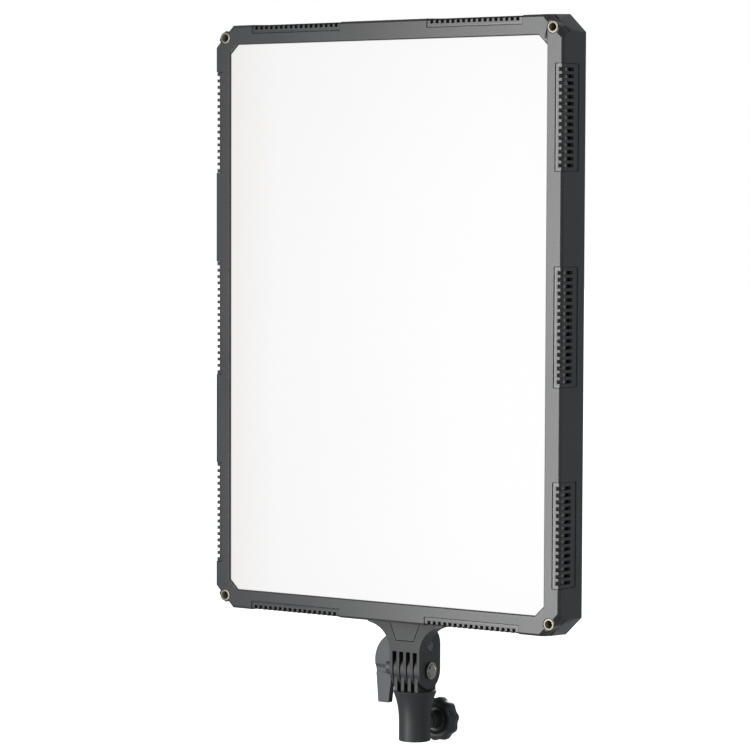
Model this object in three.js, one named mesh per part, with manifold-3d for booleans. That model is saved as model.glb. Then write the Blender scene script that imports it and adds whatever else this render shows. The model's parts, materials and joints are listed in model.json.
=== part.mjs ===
// LED panel studio light on a tilting stand bracket, in millimetres.
// Origin: centre of the stand receiver's mouth, on the receiver's axis. +Z is up, the light faces -Y.
import * as THREE from "three";
import { mergeVertices } from "three/addons/utils/BufferGeometryUtils.js";
import Module from "manifold-3d";

const wasm = await Module();
wasm.setup();

// ---------------------------------------------------------------- driving dimensions

const GAP = 0.3; // clearance between pieces that touch
const FIT = 0.3; // radial clearance of a turning or sliding piece in its hole

// Lamp housing. "depth" is measured back from the front face.
const PANEL_W = 444; // front outline, across
const PANEL_H = 640; // front outline, upright
const PANEL_D = 45.4; // front face to rear face
const SEAM_DEPTH = 40.5; // where the front frame ends and the rear cover starts
const DRAFT = 2; // how far each side wall leans out over SEAM_DEPTH
const WALL = 2.5; // moulded wall of frame and cover
const EDGE = 1.9; // rounding of the front edge
const CORNER_LEG = 17.8; // leg of the cut corners
const BEZEL_SIDE = 19.7; // front frame face beside the diffuser
const BEZEL_END = 21; // front frame face above and below it
const BEZEL_BEVEL = 1.2;
const OPENING_LEG = 10.2; // cut corners of the diffuser opening
const COVER_CHAMFER = 3.4; // rear edge of the rear cover

// Accessory inserts in the front corners
const INSERT_INSET_X = 12.95; // insert axis in from the side edge
const INSERT_INSET_Z = 13.15; // insert axis in from the end edge
const INSERT_R = 6.3;
const INSERT_HOLE_R = 3.65;
const INSERT_LENGTH = 12;
const BOSS_R = 7.6;
const BOSS_DEPTH = 20;
const SCOOP_DEPTH = 12.6; // length of the scooped relief behind each corner
const SCOOP_INSET = 6.6; // how far it bites in at the front face

// Vent grilles wrapped round the front edge
const GRILLE_FRONT = 9.4; // reach of a grille over the front face
const GRILLE_SIDE = SEAM_DEPTH - 10.5; // reach of a grille along the side wall
const GRILLE_RECESS = 0.7;
const GRILLE_WALL = 2.2;
const GRILLE_MARGIN = 4.3; // solid end beyond the last slot
const SLOT_FRONT = 5.2; // reach of a slot over the front face
const SLOT_SIDE = GRILLE_SIDE - 9.2; // reach of a slot along the side wall
const LAP = 2; // flange behind the window's edge
const LAP_WALL = 1.2;
const SIDE_VENT = { pitch: 7, slot: 3.8 };
const END_VENT = { pitch: 6.6, slot: 3.5 };
const SIDE_VENT_Z = PANEL_H / 2 - 105.2; // centres of the upper and lower side grilles
const END_VENT_X = PANEL_W / 2 - 108.1; // centres of the grilles in the two ends
const SIDE_VENTS = [
  { place: "upper", centre: SIDE_VENT_Z, slots: 15 },
  { place: "middle", centre: 0, slots: 17 },
  { place: "lower", centre: -SIDE_VENT_Z, slots: 15 },
];
const END_VENTS = [
  { place: "left", centre: -END_VENT_X, slots: 17 },
  { place: "right", centre: END_VENT_X, slots: 17 },
];

// Light box
const SHEET_LAP = 4.5; // diffuser edge held behind the front frame
const DIFFUSER_T = 3;
const MIXING_DEPTH = 16; // diffuser to light-emitting board
const REFLECTOR_T = 2;
const BOARD_T = 1.6;
const TRAY_T = 1.2;
const TRAY_INSET = 4.8; // tray rim in from the front outline
const TRAY_CORNER = 14.8; // tray corner in from the cut corner
const TRAY_RIM = 11; // height of the tray's folded rim

// Rear housing for the electronics
const HOUSING_W = 214;
const HOUSING_H = 286;
const HOUSING_D = 30;
const HOUSING_Z = -36; // its centre, from the panel's centre
const HOUSING_LEG = 16;
const HOUSING_CHAMFER = 4;
const KNOB_R = 11;
const KNOB_LENGTH = 13;
const KNOB_X = 70; // dial axes either side of the centre
const DISPLAY_W = 76;
const DISPLAY_H = 44;
const BUTTON_R = 5;
const BUTTON_TRAVEL = 1;
const INLET_W = 27;
const INLET_H = 19.6;
const INLET_X = -38;
const SWITCH_W = 19;
const SWITCH_H = 13;
const SWITCH_X = 34;
const ROCKER_TILT = 8; // degrees either side of level
const ROCKER_RISE = 3; // rocker axis above the housing's underside
const SHAFT_R = 3; // dial shafts

// Cover screws and the lip that the rear cover slides in by
const SCREW_R = 1.5;
const POST_R = 4.2;
const HEAD_R = 3;
const HEAD_T = 1.5;
const LIP_DEPTH = 4;

// Heat sinks behind the tray
const SINK_W = 112;
const SINK_H = 430;
const SINK_X = PANEL_W / 2 - 104;
const SINK_FINS = 9;
const SINK_BASE = 2.4;
const SINK_FIN_T = 2;
const SINK_D = 12;

// Tilt hinge and bracket
const PIVOT_DROP = 59.3; // tilt axis below the front outline's lower edge
const CHEEK_R = 20.8; // bracket's rounded ends, and half its depth
const FIN_PITCH = 8.8;
const FIN_SLOT = 4.8;
const BRACKET_FINS = 5;
const BRACKET_FIN_T = FIN_PITCH - FIN_SLOT;
const RECEIVER_FIN_T = FIN_SLOT - 2 * GAP;
const SLOT_TOP = CHEEK_R; // comb slots' roof above the tilt axis
const BUTTON_RISE = SLOT_TOP + 6; // release button above the tilt axis
const HEAD_HALF_W = 48.5; // bracket head behind the panel
const HEAD_D = 20;
const HEAD_RISE = 62; // how far it reaches above the panel's lower edge
const FLARE_R = 29.5; // concave flare between cheek and head
const HEAD_ROUND = 10; // its upper corners
const WEDGE_FOOT = 33.5; // wedge's lower end above the tilt axis
const WEDGE_HALF_W = 11.1; // half width of that end, at its face
const WEDGE_SLOPE = 0.41; // how it widens upwards
const WEDGE_SHOULDER = 60; // where it stops widening, above the tilt axis
const WEDGE_T = 9;
const WEDGE_UNDERCUT = 3; // how much wider it is at the back, each side
const BOLT_R = 4;
const WEDGE_SCREW_R = 2.5;
const WEDGE_SCREW_RISES = [76, 104]; // above the tilt axis
const PLATE_T = 2.5; // backing plate inside the rear cover
const PLATE_HALF_W = 45;
const RELEASE_R = 5.3; // release button
const RELEASE_HEAD = 5.6;
const RELEASE_PROUD = 0.5;
const RELEASE_STEM_R = 2.6;
const RELEASE_TIP = -4.5;
const RELEASE_TRAVEL = 2.5;

// Wing lever
const LEVER_GAP = 1.8; // washer between bracket and lever
const LEVER_REACH = 30.9; // outer edge of the lever, from the bracket's cheek
const LEVER_T = 7.6;
const LEVER_UP = 36.5;
const LEVER_DOWN = 39.5;
const LEVER_WING_R = 33; // outer curve of the upper wing
const LEVER_HUB_R = 8.5;
const NUT_R = 6.2;

// Stand receiver and its lock
const RECEIVER_H = 55.4;
const RECEIVER_R = 17.4;
const RIM_R = 24;
const RIM_CLEARANCE = 1.7; // room for the bracket to swing over the rim
const LIP_T = 1.3;
const SPIGOT_R = 8; // the standard stand spigot
const SPIGOT_FIT = 0.3;
const BORE_DEPTH = 46;
const LOCK_Z = 17.6; // lock screw above the mouth
const LOCK_BOSS_R = 9;
const LOCK_BOSS_Y = 24;
const LOCK_SCREW_R = 4;
const LOCK_KNOB_Y = 38.9; // near face of the star knob
const LOCK_KNOB_R = 25;
const LOCK_KNOB_T = 14.3;
const LOCK_LOBES = 10;
const LOCK_LOBE_DEPTH = 2.6;
const LOCK_REST = 10; // degrees the knob is left turned by
const LOCK_BUSH_R = 6.4;
const LOCK_BUSH_Y = 14; // inner end of the threaded bush
const PAD_T = 3.6;

// Values that follow from those above
const BRACKET_HALF_W = (BRACKET_FINS * FIN_PITCH - FIN_SLOT) / 2;
const PIVOT_HEIGHT = RECEIVER_H + RIM_CLEARANCE + CHEEK_R; // tilt axis above the receiver's mouth
const LEVER_OUT = BRACKET_HALF_W + LEVER_REACH;
const STANDOFF = CHEEK_R + GAP; // tilt axis behind the panel's rear face
const OPENING_W = PANEL_W - 2 * BEZEL_SIDE;
const OPENING_H = PANEL_H - 2 * BEZEL_END;
const DIFFUSER_DEPTH = WALL + GAP;
const BOARD_DEPTH = DIFFUSER_DEPTH + DIFFUSER_T + MIXING_DEPTH;
const TRAY_DEPTH = BOARD_DEPTH + BOARD_T + GAP;
const HEAD_TOP = PIVOT_DROP + HEAD_RISE;
const BORE_R = SPIGOT_R + SPIGOT_FIT;
const ROUND = 16; // facets of a plain round piece

// ---------------------------------------------------------------- materials

const material = (color, roughness, metalness = 0) =>
  new THREE.MeshStandardMaterial({ color, roughness, metalness });
const MATERIALS = {
  casing: material(0x55585b, 0.55),
  cover: material(0x2b2c2e, 0.6),
  opal: material(0xf4f3f1, 0.35),
  white: material(0xe9e9e6, 0.5),
  board: material(0xdfe3df, 0.45),
  circuit: material(0x1f5a37, 0.5),
  aluminium: material(0xb9bcbf, 0.35, 1),
  steel: material(0xa4a6a8, 0.35, 1),
  chrome: material(0xdadcde, 0.12, 1),
  brass: material(0xb59455, 0.3, 1),
  cast: material(0x5d6063, 0.5, 0.3),
  black: material(0x191a1b, 0.5),
  glass: material(0x15181c, 0.08),
};

// ---------------------------------------------------------------- solids

// A closed three.js geometry as a solid that can be cut and joined.
function solid(geometry) {
  const bare = geometry.clone();
  bare.deleteAttribute("normal");
  bare.deleteAttribute("uv");
  const merged = mergeVertices(bare, 1e-4);
  return new wasm.Manifold(
    new wasm.Mesh({
      numProp: 3,
      vertProperties: merged.attributes.position.array,
      triVerts: new Uint32Array(merged.index.array),
    }),
  );
}

function joined(first, ...others) {
  return others.reduce((whole, piece) => whole.add(piece), first);
}

function cut(first, ...others) {
  return others.reduce((whole, piece) => whole.subtract(piece), first);
}

function box([x0, x1], [y0, y1], [z0, z1]) {
  const g = new THREE.BoxGeometry(x1 - x0, y1 - y0, z1 - z0);
  return solid(g.translate((x0 + x1) / 2, (y0 + y1) / 2, (z0 + z1) / 2));
}

// A shape drawn in x and z, pushed through from y0 to y1.
function extrudeY(shape, y0, y1, curveSegments = 8) {
  const g = new THREE.ExtrudeGeometry(shape, { depth: y1 - y0, bevelEnabled: false, curveSegments });
  return solid(g.rotateX(Math.PI / 2).translate(0, y1, 0));
}

const X_AXIS = new THREE.Vector3(1, 0, 0);
const Y_AXIS = new THREE.Vector3(0, 1, 0);
const Z_AXIS = new THREE.Vector3(0, 0, 1);

// A shape drawn in y and z, pushed through from x0 to x1.
function extrudeX(shape, x0, x1, curveSegments = 8) {
  const g = new THREE.ExtrudeGeometry(shape, { depth: x1 - x0, bevelEnabled: false, curveSegments });
  g.applyMatrix4(new THREE.Matrix4().makeBasis(Y_AXIS, Z_AXIS, X_AXIS));
  return solid(g.translate(x0, 0, 0));
}

// A profile of [radius, station] points, turned about the given axis through the origin.
function turned(profile, axis, segments = ROUND) {
  const points = profile.map(([r, s]) => new THREE.Vector2(r, s));
  const g = new THREE.LatheGeometry(points, segments);
  const turn = new THREE.Quaternion().setFromUnitVectors(Y_AXIS, axis);
  return solid(g.applyQuaternion(turn));
}

// A plain round bar from station s0 to s1 of the axis.
function rod(radius, s0, s1, axis, segments = ROUND) {
  return turned([[0, s0], [radius, s0], [radius, s1], [0, s1]], axis, segments);
}

// Rings of [x, z] points, anticlockwise from the front, joined into one closed skin.
function loft(rings) {
  const count = rings[0].points.length;
  const vertices = rings.flatMap(({ y, points }) => points.flatMap(([x, z]) => [x, y, z]));
  const index = [];
  for (let r = 0; r + 1 < rings.length; r++) {
    for (let i = 0; i < count; i++) {
      const a = r * count + i;
      const b = r * count + ((i + 1) % count);
      index.push(a, a + count, b + count, a, b + count, b);
    }
  }
  const last = (rings.length - 1) * count;
  for (let i = 1; i + 1 < count; i++) {
    index.push(0, i, i + 1, last, last + i + 1, last + i);
  }
  const g = new THREE.BufferGeometry();
  g.setAttribute("position", new THREE.Float32BufferAttribute(vertices, 3));
  g.setIndex(index);
  return solid(g);
}

// A rectangle with its corners cut off at 45 degrees.
function octagon(w, h, leg, cx = 0, cz = 0) {
  const [x, z] = [w / 2, h / 2];
  return [
    [x - leg, -z], [x, leg - z], [x, z - leg], [x - leg, z],
    [leg - x, z], [-x, z - leg], [-x, leg - z], [leg - x, -z],
  ].map(([px, pz]) => [px + cx, pz + cz]);
}

// The same outline moved in by one distance along the sides and another at the cut corners.
function insetOctagon(w, h, leg, side, corner = side, cx = 0, cz = 0) {
  return octagon(w - 2 * side, h - 2 * side, leg - 2 * side + corner * Math.SQRT2, cx, cz);
}

function mesh(name, body, look) {
  const { vertProperties, triVerts, numProp } = body.getMesh();
  const g = new THREE.BufferGeometry();
  const count = vertProperties.length / numProp;
  const position = new Float32Array(count * 3);
  for (let i = 0; i < count; i++) {
    position.set(vertProperties.subarray(i * numProp, i * numProp + 3), i * 3);
  }
  g.setAttribute("position", new THREE.BufferAttribute(position, 3));
  g.setIndex(new THREE.BufferAttribute(new Uint32Array(triVerts), 1));
  g.computeVertexNormals();
  const made = new THREE.Mesh(g, look);
  made.name = name;
  return made;
}

function circle(x, y, r) {
  const shape = new THREE.Shape();
  shape.absarc(x, y, r, 0, 2 * Math.PI, false);
  return shape;
}

// ---------------------------------------------------------------- lamp housing
// Everything in the lamp is placed from the middle of the front face; y is depth.

const leanAt = (depth) => (DRAFT * depth) / SEAM_DEPTH;
const panelRing = (depth, inset) => ({
  y: depth,
  points: insetOctagon(PANEL_W, PANEL_H, CORNER_LEG, inset - leanAt(depth)),
});

// The housing's outer form, moved in all round by the given distance.
function housingForm(inset, depth = SEAM_DEPTH) {
  return loft([
    panelRing(inset, EDGE + inset),
    panelRing(EDGE + inset, inset),
    panelRing(depth, inset),
  ]);
}

// One entry for each grille: the window it fills, and its slots.
function ventPlan() {
  const plan = [];
  for (const side of [-1, 1]) {
    for (const vent of SIDE_VENTS) {
      const name = `${side < 0 ? "left" : "right"}_${vent.place}`;
      plan.push({ name, upright: true, side, ...SIDE_VENT, ...vent });
    }
    for (const vent of END_VENTS) {
      const name = `${side < 0 ? "bottom" : "top"}_${vent.place}`;
      plan.push({ name, upright: false, side, ...END_VENT, ...vent });
    }
  }
  return plan;
}

const slotSpan = (vent) => (vent.slots - 1) * vent.pitch + vent.slot;

// A block over the panel's edge: reach over the face, reach along the wall, half length.
function edgeBlock(vent, face, wall, centre, half, front = -1) {
  const edge = (vent.upright ? PANEL_W : PANEL_H) / 2;
  const across = vent.side > 0 ? [edge - face, edge + 10] : [-edge - 10, face - edge];
  const along = [centre - half, centre + half];
  return vent.upright ? box(across, [front, wall], along) : box(along, [front, wall], across);
}

const windowHalf = (vent) => slotSpan(vent) / 2 + GRILLE_MARGIN;

function ventWindow(vent) {
  return edgeBlock(vent, GRILLE_FRONT, GRILLE_SIDE, vent.centre, windowHalf(vent));
}

function ventGrille(vent, face, flange) {
  const half = windowHalf(vent);
  const body = edgeBlock(vent, GRILLE_FRONT - GAP, GRILLE_SIDE - GAP, vent.centre, half - GAP);
  const back = edgeBlock(vent, GRILLE_FRONT + LAP, GRILLE_SIDE + LAP, vent.centre, half + LAP);
  let grille = joined(face.intersect(body), flange.intersect(back));
  const first = vent.centre - ((vent.slots - 1) * vent.pitch) / 2;
  for (let i = 0; i < vent.slots; i++) {
    const at = first + i * vent.pitch;
    grille = cut(grille, edgeBlock(vent, SLOT_FRONT, SLOT_SIDE, at, vent.slot / 2));
  }
  return grille;
}

function grilles() {
  const recess = GRILLE_RECESS;
  const back = recess + GRILLE_WALL;
  const face = housingForm(recess).subtract(housingForm(back, SEAM_DEPTH + 1));
  const flange = housingForm(back - 0.01).subtract(housingForm(back + LAP_WALL, SEAM_DEPTH + 1));
  return ventPlan().map((vent) =>
    mesh(`vent_grille_${vent.name}`, ventGrille(vent, face, flange), MATERIALS.casing),
  );
}

const cornerSigns = [[-1, -1], [1, -1], [1, 1], [-1, 1]];
const insertX = PANEL_W / 2 - INSERT_INSET_X;
const insertZ = PANEL_H / 2 - INSERT_INSET_Z;

// The concave relief at one front corner, which leaves the insert's boss standing.
function cornerScoop(sx, sz) {
  const radius = (SCOOP_DEPTH ** 2 + SCOOP_INSET ** 2) / (2 * SCOOP_INSET);
  const start = Math.asin(SCOOP_DEPTH / radius);
  const relief = new THREE.Shape();
  relief.moveTo(-1, 10);
  relief.lineTo(-1, -SCOOP_INSET - 0.5);
  relief.absarc(SCOOP_DEPTH, -radius, radius, Math.PI / 2 + start, Math.PI / 2, true);
  relief.lineTo(SCOOP_DEPTH, 10);
  // Drawn as depth against distance out from the cut corner, then run along that corner.
  const g = new THREE.ExtrudeGeometry(relief, { depth: 80, bevelEnabled: false, curveSegments: 4 });
  g.translate(0, 0, -40);
  const out = new THREE.Vector3(sx, 0, sz).normalize();
  const along = new THREE.Vector3().crossVectors(Y_AXIS, out);
  const reach = (PANEL_W / 2 + PANEL_H / 2 - CORNER_LEG) / Math.SQRT2;
  const middle = out.clone().multiplyScalar(reach);
  const shift = (PANEL_H - PANEL_W) / 2 / Math.SQRT2;
  middle.addScaledVector(new THREE.Vector3(-sx, 0, sz).normalize(), shift);
  g.applyMatrix4(new THREE.Matrix4().makeBasis(Y_AXIS, out, along).setPosition(middle));
  return solid(g);
}

function yRod(radius, x, z, y0, y1, segments = ROUND) {
  return rod(radius, y0, y1, Y_AXIS, segments).translate(x, 0, z);
}

const COVER_SCREWS = [
  ...cornerSigns.map(([sx, sz]) => [sx * (insertX - 3), sz * (insertZ - 3)]),
  ...cornerSigns.map(([sx, sz]) => [sx * (PANEL_W / 2 - 8.5), (sz * PANEL_H) / 6]),
];

function frontFrame() {
  const cavity = loft([
    panelRing(WALL, WALL),
    panelRing(BOSS_DEPTH, WALL),
    panelRing(SEAM_DEPTH + 1, WALL),
  ]);
  // In front of BOSS_DEPTH the corners stay solid, to carry the inserts.
  const corners = insetOctagon(PANEL_W, PANEL_H, CORNER_LEG, -DRAFT, TRAY_CORNER - GAP);
  const clear = loft([{ y: 0, points: corners }, { y: BOSS_DEPTH, points: corners }]);
  const behind = box([-PANEL_W, PANEL_W], [BOSS_DEPTH, PANEL_D], [-PANEL_H, PANEL_H]);
  const opening = loft([
    { y: -1, points: insetOctagon(OPENING_W, OPENING_H, OPENING_LEG, -BEZEL_BEVEL - 1) },
    { y: BEZEL_BEVEL, points: octagon(OPENING_W, OPENING_H, OPENING_LEG) },
    { y: DIFFUSER_DEPTH, points: octagon(OPENING_W, OPENING_H, OPENING_LEG) },
  ]);
  let frame = cut(housingForm(0), cavity.intersect(clear.add(behind)), opening);
  for (const [sx, sz] of cornerSigns) {
    const boss = yRod(BOSS_R, sx * insertX, sz * insertZ, 0, BOSS_DEPTH);
    frame = cut(frame, cornerScoop(sx, sz).subtract(boss));
    frame = cut(frame, yRod(INSERT_R + GAP, sx * insertX, sz * insertZ, -1, INSERT_LENGTH + GAP));
  }
  const shell = housingForm(1);
  for (const [x, z] of COVER_SCREWS) {
    const post = yRod(POST_R, x, z, TRAY_DEPTH + 2 * TRAY_T, SEAM_DEPTH - 4, 8);
    const web = box(
      x > 0 ? [x, x + 12] : [x - 12, x],
      [TRAY_DEPTH + 2 * TRAY_T, SEAM_DEPTH - 4],
      [z - 1.2, z + 1.2],
    );
    const hole = yRod(SCREW_R + 0.1, x, z, TRAY_DEPTH + 5, SEAM_DEPTH, 8);
    frame = joined(frame, post.add(web).intersect(shell)).subtract(hole);
  }
  return cut(frame, ...ventPlan().map(ventWindow));
}

function cornerInserts() {
  return cornerSigns.map(([sx, sz], i) => {
    const ring = turned(
      [
        [INSERT_HOLE_R, 0.6],
        [INSERT_HOLE_R + 0.6, 0],
        [INSERT_R - 0.5, 0],
        [INSERT_R, 0.5],
        [INSERT_R, INSERT_LENGTH],
        [INSERT_HOLE_R, INSERT_LENGTH],
        [INSERT_HOLE_R, 0.6],
      ],
      Y_AXIS,
    );
    const insert = mesh(`corner_insert_${i + 1}`, ring, MATERIALS.brass);
    insert.position.set(sx * insertX, 0, sz * insertZ);
    return insert;
  });
}

// ---------------------------------------------------------------- light box

const sheetRing = (y, inset) => ({
  y,
  points: insetOctagon(OPENING_W, OPENING_H, OPENING_LEG, inset - SHEET_LAP),
});
const trayRing = (y, inset) => ({
  y,
  points: insetOctagon(PANEL_W, PANEL_H, CORNER_LEG, TRAY_INSET + inset, TRAY_CORNER + inset),
});

function diffuser() {
  const back = DIFFUSER_DEPTH + DIFFUSER_T;
  return loft([sheetRing(DIFFUSER_DEPTH, 0), sheetRing(back, 0)]);
}

function reflectorFrame() {
  const front = DIFFUSER_DEPTH + DIFFUSER_T + GAP;
  const back = BOARD_DEPTH - GAP;
  return cut(
    loft([sheetRing(front, 0), sheetRing(back, 0)]),
    loft([sheetRing(front - 1, REFLECTOR_T), sheetRing(back + 1, REFLECTOR_T)]),
  );
}

function ledBoard() {
  const inset = TRAY_T + GAP;
  return loft([trayRing(BOARD_DEPTH, inset), trayRing(BOARD_DEPTH + BOARD_T, inset)]);
}

function ledTray() {
  const back = TRAY_DEPTH + TRAY_T;
  return cut(
    loft([trayRing(back - TRAY_RIM, 0), trayRing(back, 0)]),
    loft([trayRing(back - TRAY_RIM - 1, TRAY_T), trayRing(TRAY_DEPTH, TRAY_T)]),
  );
}

// An extruded heat sink, its fins upright, screwed to the back of the tray.
function heatSink() {
  const front = TRAY_DEPTH + TRAY_T + GAP;
  const base = box([-SINK_W / 2, SINK_W / 2], [front, front + SINK_BASE], [-SINK_H / 2, SINK_H / 2]);
  const pitch = (SINK_W - SINK_FIN_T) / (SINK_FINS - 1);
  const fins = Array.from({ length: SINK_FINS }, (_, i) => {
    const x = -SINK_W / 2 + i * pitch;
    return box([x, x + SINK_FIN_T], [front + SINK_BASE - 0.5, front + SINK_D], [-SINK_H / 2, SINK_H / 2]);
  });
  return joined(base, ...fins);
}

const HOUSING_BACK = PANEL_D + HOUSING_D;
const POWER_BOARD_DEPTH = PANEL_D + 2;

// The power board: transformer, capacitors and a finned regulator on one circuit board.
function powerBoard() {
  const y = POWER_BOARD_DEPTH;
  const z = HOUSING_Z - 50;
  const board = box([-88, 88], [y, y + BOARD_T], [z - 70, z + 60]);
  const transformer = box([-66, -26], [y + 1, y + 19], [z - 2, z + 38]);
  const regulator = box([30, 74], [y + 1, y + 16], [z + 6, z + 40]);
  const capacitors = [-6, 12].map((x) => yRod(7.5, x, z + 20, y + 1, y + 20, 12));
  return joined(board, transformer, regulator, ...capacitors);
}

const DIAL_Z = HOUSING_Z + 74;
const BUTTON_Z = HOUSING_Z + 30;
const BUTTON_XS = [-24, 0, 24];
const BUTTON_NAMES = ["menu", "mode", "power_level"];
const DISPLAY_Z = HOUSING_Z + 82;
const CONTROL_BOARD_DEPTH = HOUSING_BACK - WALL - 9;

// The control board behind the dials, display and buttons, with their switch bodies.
function controlBoard() {
  const y = CONTROL_BOARD_DEPTH;
  const board = box([-88, 88], [y - BOARD_T, y], [HOUSING_Z + 18, HOUSING_Z + 112]);
  const encoders = [-1, 1].map((s) =>
    box([s * KNOB_X - 6, s * KNOB_X + 6], [y - 0.5, y + 6], [DIAL_Z - 6, DIAL_Z + 6]),
  );
  const switches = BUTTON_XS.map((x) => box([x - 3, x + 3], [y - 0.5, y + 3], [BUTTON_Z - 3, BUTTON_Z + 3]));
  return joined(board, ...encoders, ...switches);
}

// ---------------------------------------------------------------- rear cover and controls

const coverOut = -DRAFT; // the cover's side faces line up with the frame's rear edge
const housingRing = (y, inset) => ({
  y,
  points: insetOctagon(HOUSING_W, HOUSING_H, HOUSING_LEG, inset, inset, 0, HOUSING_Z),
});
const coverRing = (y, inset) => ({
  y,
  points: insetOctagon(PANEL_W, PANEL_H, CORNER_LEG, coverOut + inset),
});
const HOUSING_FOOT = HOUSING_Z - HOUSING_H / 2;
const SOCKET_Y = PANEL_D + HOUSING_D / 2;

function coverShell() {
  const rim = SEAM_DEPTH + GAP;
  const floor = PANEL_D - WALL;
  const outer = joined(
    loft([coverRing(rim, 0), coverRing(PANEL_D - COVER_CHAMFER, 0), coverRing(PANEL_D, COVER_CHAMFER)]),
    loft([
      housingRing(PANEL_D - 1, 0),
      housingRing(HOUSING_BACK - HOUSING_CHAMFER, 0),
      housingRing(HOUSING_BACK, HOUSING_CHAMFER),
    ]),
  );
  const inner = joined(
    loft([coverRing(rim - 1, WALL), coverRing(rim + 0.6, WALL), coverRing(floor, COVER_CHAMFER + 0.6)]),
    loft([
      housingRing(floor - 1, WALL),
      housingRing(HOUSING_BACK - HOUSING_CHAMFER, WALL),
      housingRing(HOUSING_BACK - WALL, HOUSING_CHAMFER),
    ]),
  );
  const front = SEAM_DEPTH - LIP_DEPTH + GAP;
  const lipOut = WALL + GAP - leanAt(front) - coverOut;
  const lip = cut(
    loft([coverRing(front, lipOut), coverRing(floor + 1, lipOut)]),
    loft([coverRing(front - 1, lipOut + 1.8), coverRing(floor + 2, lipOut + 1.8)]),
  );
  const bosses = COVER_SCREWS.map(([x, z]) => yRod(POST_R, x, z, front, floor + 1, 8));
  return joined(cut(outer, inner), lip, ...bosses);
}

// Two banks of cooling slots across the rear, one above the housing and one below it.
function coolingSlots() {
  const banks = [HOUSING_Z + HOUSING_H / 2 + 62, HOUSING_FOOT - 22];
  const heights = [70, 16];
  return banks.flatMap((z, bank) =>
    Array.from({ length: 12 }, (_, i) => {
      const x = (i - 5.5) * 14;
      const half = heights[bank] / 2;
      return box([x - 2, x + 2], [PANEL_D - WALL - 1, PANEL_D + 1], [z - half, z + half]);
    }),
  );
}

function rearCover() {
  const through = [HOUSING_BACK - WALL - 2, HOUSING_BACK + 1];
  const screwHoles = COVER_SCREWS.flatMap(([x, z]) => [
    yRod(SCREW_R + GAP, x, z, SEAM_DEPTH - LIP_DEPTH, PANEL_D + 1, 6),
    yRod(HEAD_R + GAP, x, z, PANEL_D - HEAD_T, PANEL_D + 1, 8),
  ]);
  const dialHoles = [-KNOB_X, KNOB_X].map((x) => yRod(SHAFT_R + GAP, x, DIAL_Z, ...through, 12));
  const buttonHoles = BUTTON_XS.map((x) => yRod(BUTTON_R + FIT, x, BUTTON_Z, ...through, 16));
  const display = box(
    [-DISPLAY_W / 2 - GAP, DISPLAY_W / 2 + GAP],
    [HOUSING_BACK - 1.5, HOUSING_BACK + 1],
    [DISPLAY_Z - DISPLAY_H / 2 - GAP, DISPLAY_Z + DISPLAY_H / 2 + GAP],
  );
  const foot = [HOUSING_FOOT - 1, HOUSING_FOOT + WALL + 1];
  const inlet = socketBlock(INLET_X, INLET_W / 2 + GAP, INLET_H / 2 + GAP, foot);
  const rocker = socketBlock(SWITCH_X, SWITCH_W / 2 + GAP, SWITCH_H / 2 + GAP, foot);
  const wedgeHoles = wedgeScrewSpots().map((z) => yRod(WEDGE_SCREW_R + GAP, 0, z, SEAM_DEPTH, PANEL_D + 1, 12));
  return cut(
    coverShell(), ...screwHoles, ...dialHoles, ...buttonHoles, display, inlet, rocker,
    ...wedgeHoles, ...coolingSlots(),
  );
}

// A block centred on the housing's underside, from z0 to z1.
function socketBlock(x, halfW, halfD, [z0, z1]) {
  return box([x - halfW, x + halfW], [SOCKET_Y - halfD, SOCKET_Y + halfD], [z0, z1]);
}

function coverScrews() {
  return COVER_SCREWS.map(([x, z], i) => {
    const screw = mesh(
      `cover_screw_${i + 1}`,
      turned(
        [[0, TRAY_DEPTH + 6], [SCREW_R - 0.3, TRAY_DEPTH + 6], [SCREW_R - 0.3, PANEL_D - HEAD_T + GAP],
          [HEAD_R, PANEL_D - HEAD_T + GAP], [HEAD_R, PANEL_D], [1.4, PANEL_D], [1.2, PANEL_D - 0.8],
          [0, PANEL_D - 0.8]],
        Y_AXIS,
        12,
      ),
      MATERIALS.steel,
    );
    screw.position.set(x, 0, z);
    return screw;
  });
}

function displayWindow() {
  return box(
    [-DISPLAY_W / 2, DISPLAY_W / 2],
    [HOUSING_BACK - 1.2, HOUSING_BACK + 0.2],
    [DISPLAY_Z - DISPLAY_H / 2, DISPLAY_Z + DISPLAY_H / 2],
  );
}

// A dial with a fluted side and a shallow finger dish; its own axis is y.
function dialKnob() {
  const ring = (y, radius, depth) => ({ y, points: lobed(radius, depth, 10, 3) });
  const y0 = HOUSING_BACK + 1;
  const body = loft([
    ring(y0, KNOB_R, 0.8),
    ring(y0 + KNOB_LENGTH - 1.2, KNOB_R - 0.6, 0.8),
    ring(y0 + KNOB_LENGTH, KNOB_R - 1.8, 0.5),
  ]);
  const bore = rod(SHAFT_R + GAP, y0 - 1, y0 + KNOB_LENGTH - 3, Y_AXIS, 12);
  const pointer = box([-0.6, 0.6], [y0 + KNOB_LENGTH - 0.6, y0 + KNOB_LENGTH + 1], [2, KNOB_R]);
  return cut(body, bore, pointer);
}

function dialShaft() {
  const y0 = CONTROL_BOARD_DEPTH + 6 + GAP;
  return rod(SHAFT_R, y0, HOUSING_BACK + 1 + KNOB_LENGTH - 3 - GAP, Y_AXIS, 12);
}

function pushButton() {
  const y0 = CONTROL_BOARD_DEPTH + 3 + GAP + BUTTON_TRAVEL;
  const face = HOUSING_BACK + 1.6;
  return turned(
    [[0, y0], [2, y0], [2, HOUSING_BACK - WALL - BUTTON_TRAVEL - 0.6],
      [BUTTON_R, HOUSING_BACK - WALL - BUTTON_TRAVEL - 0.6], [BUTTON_R, face - 0.6],
      [BUTTON_R - 0.6, face], [0, face - 0.3]],
    Y_AXIS,
    16,
  );
}

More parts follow.
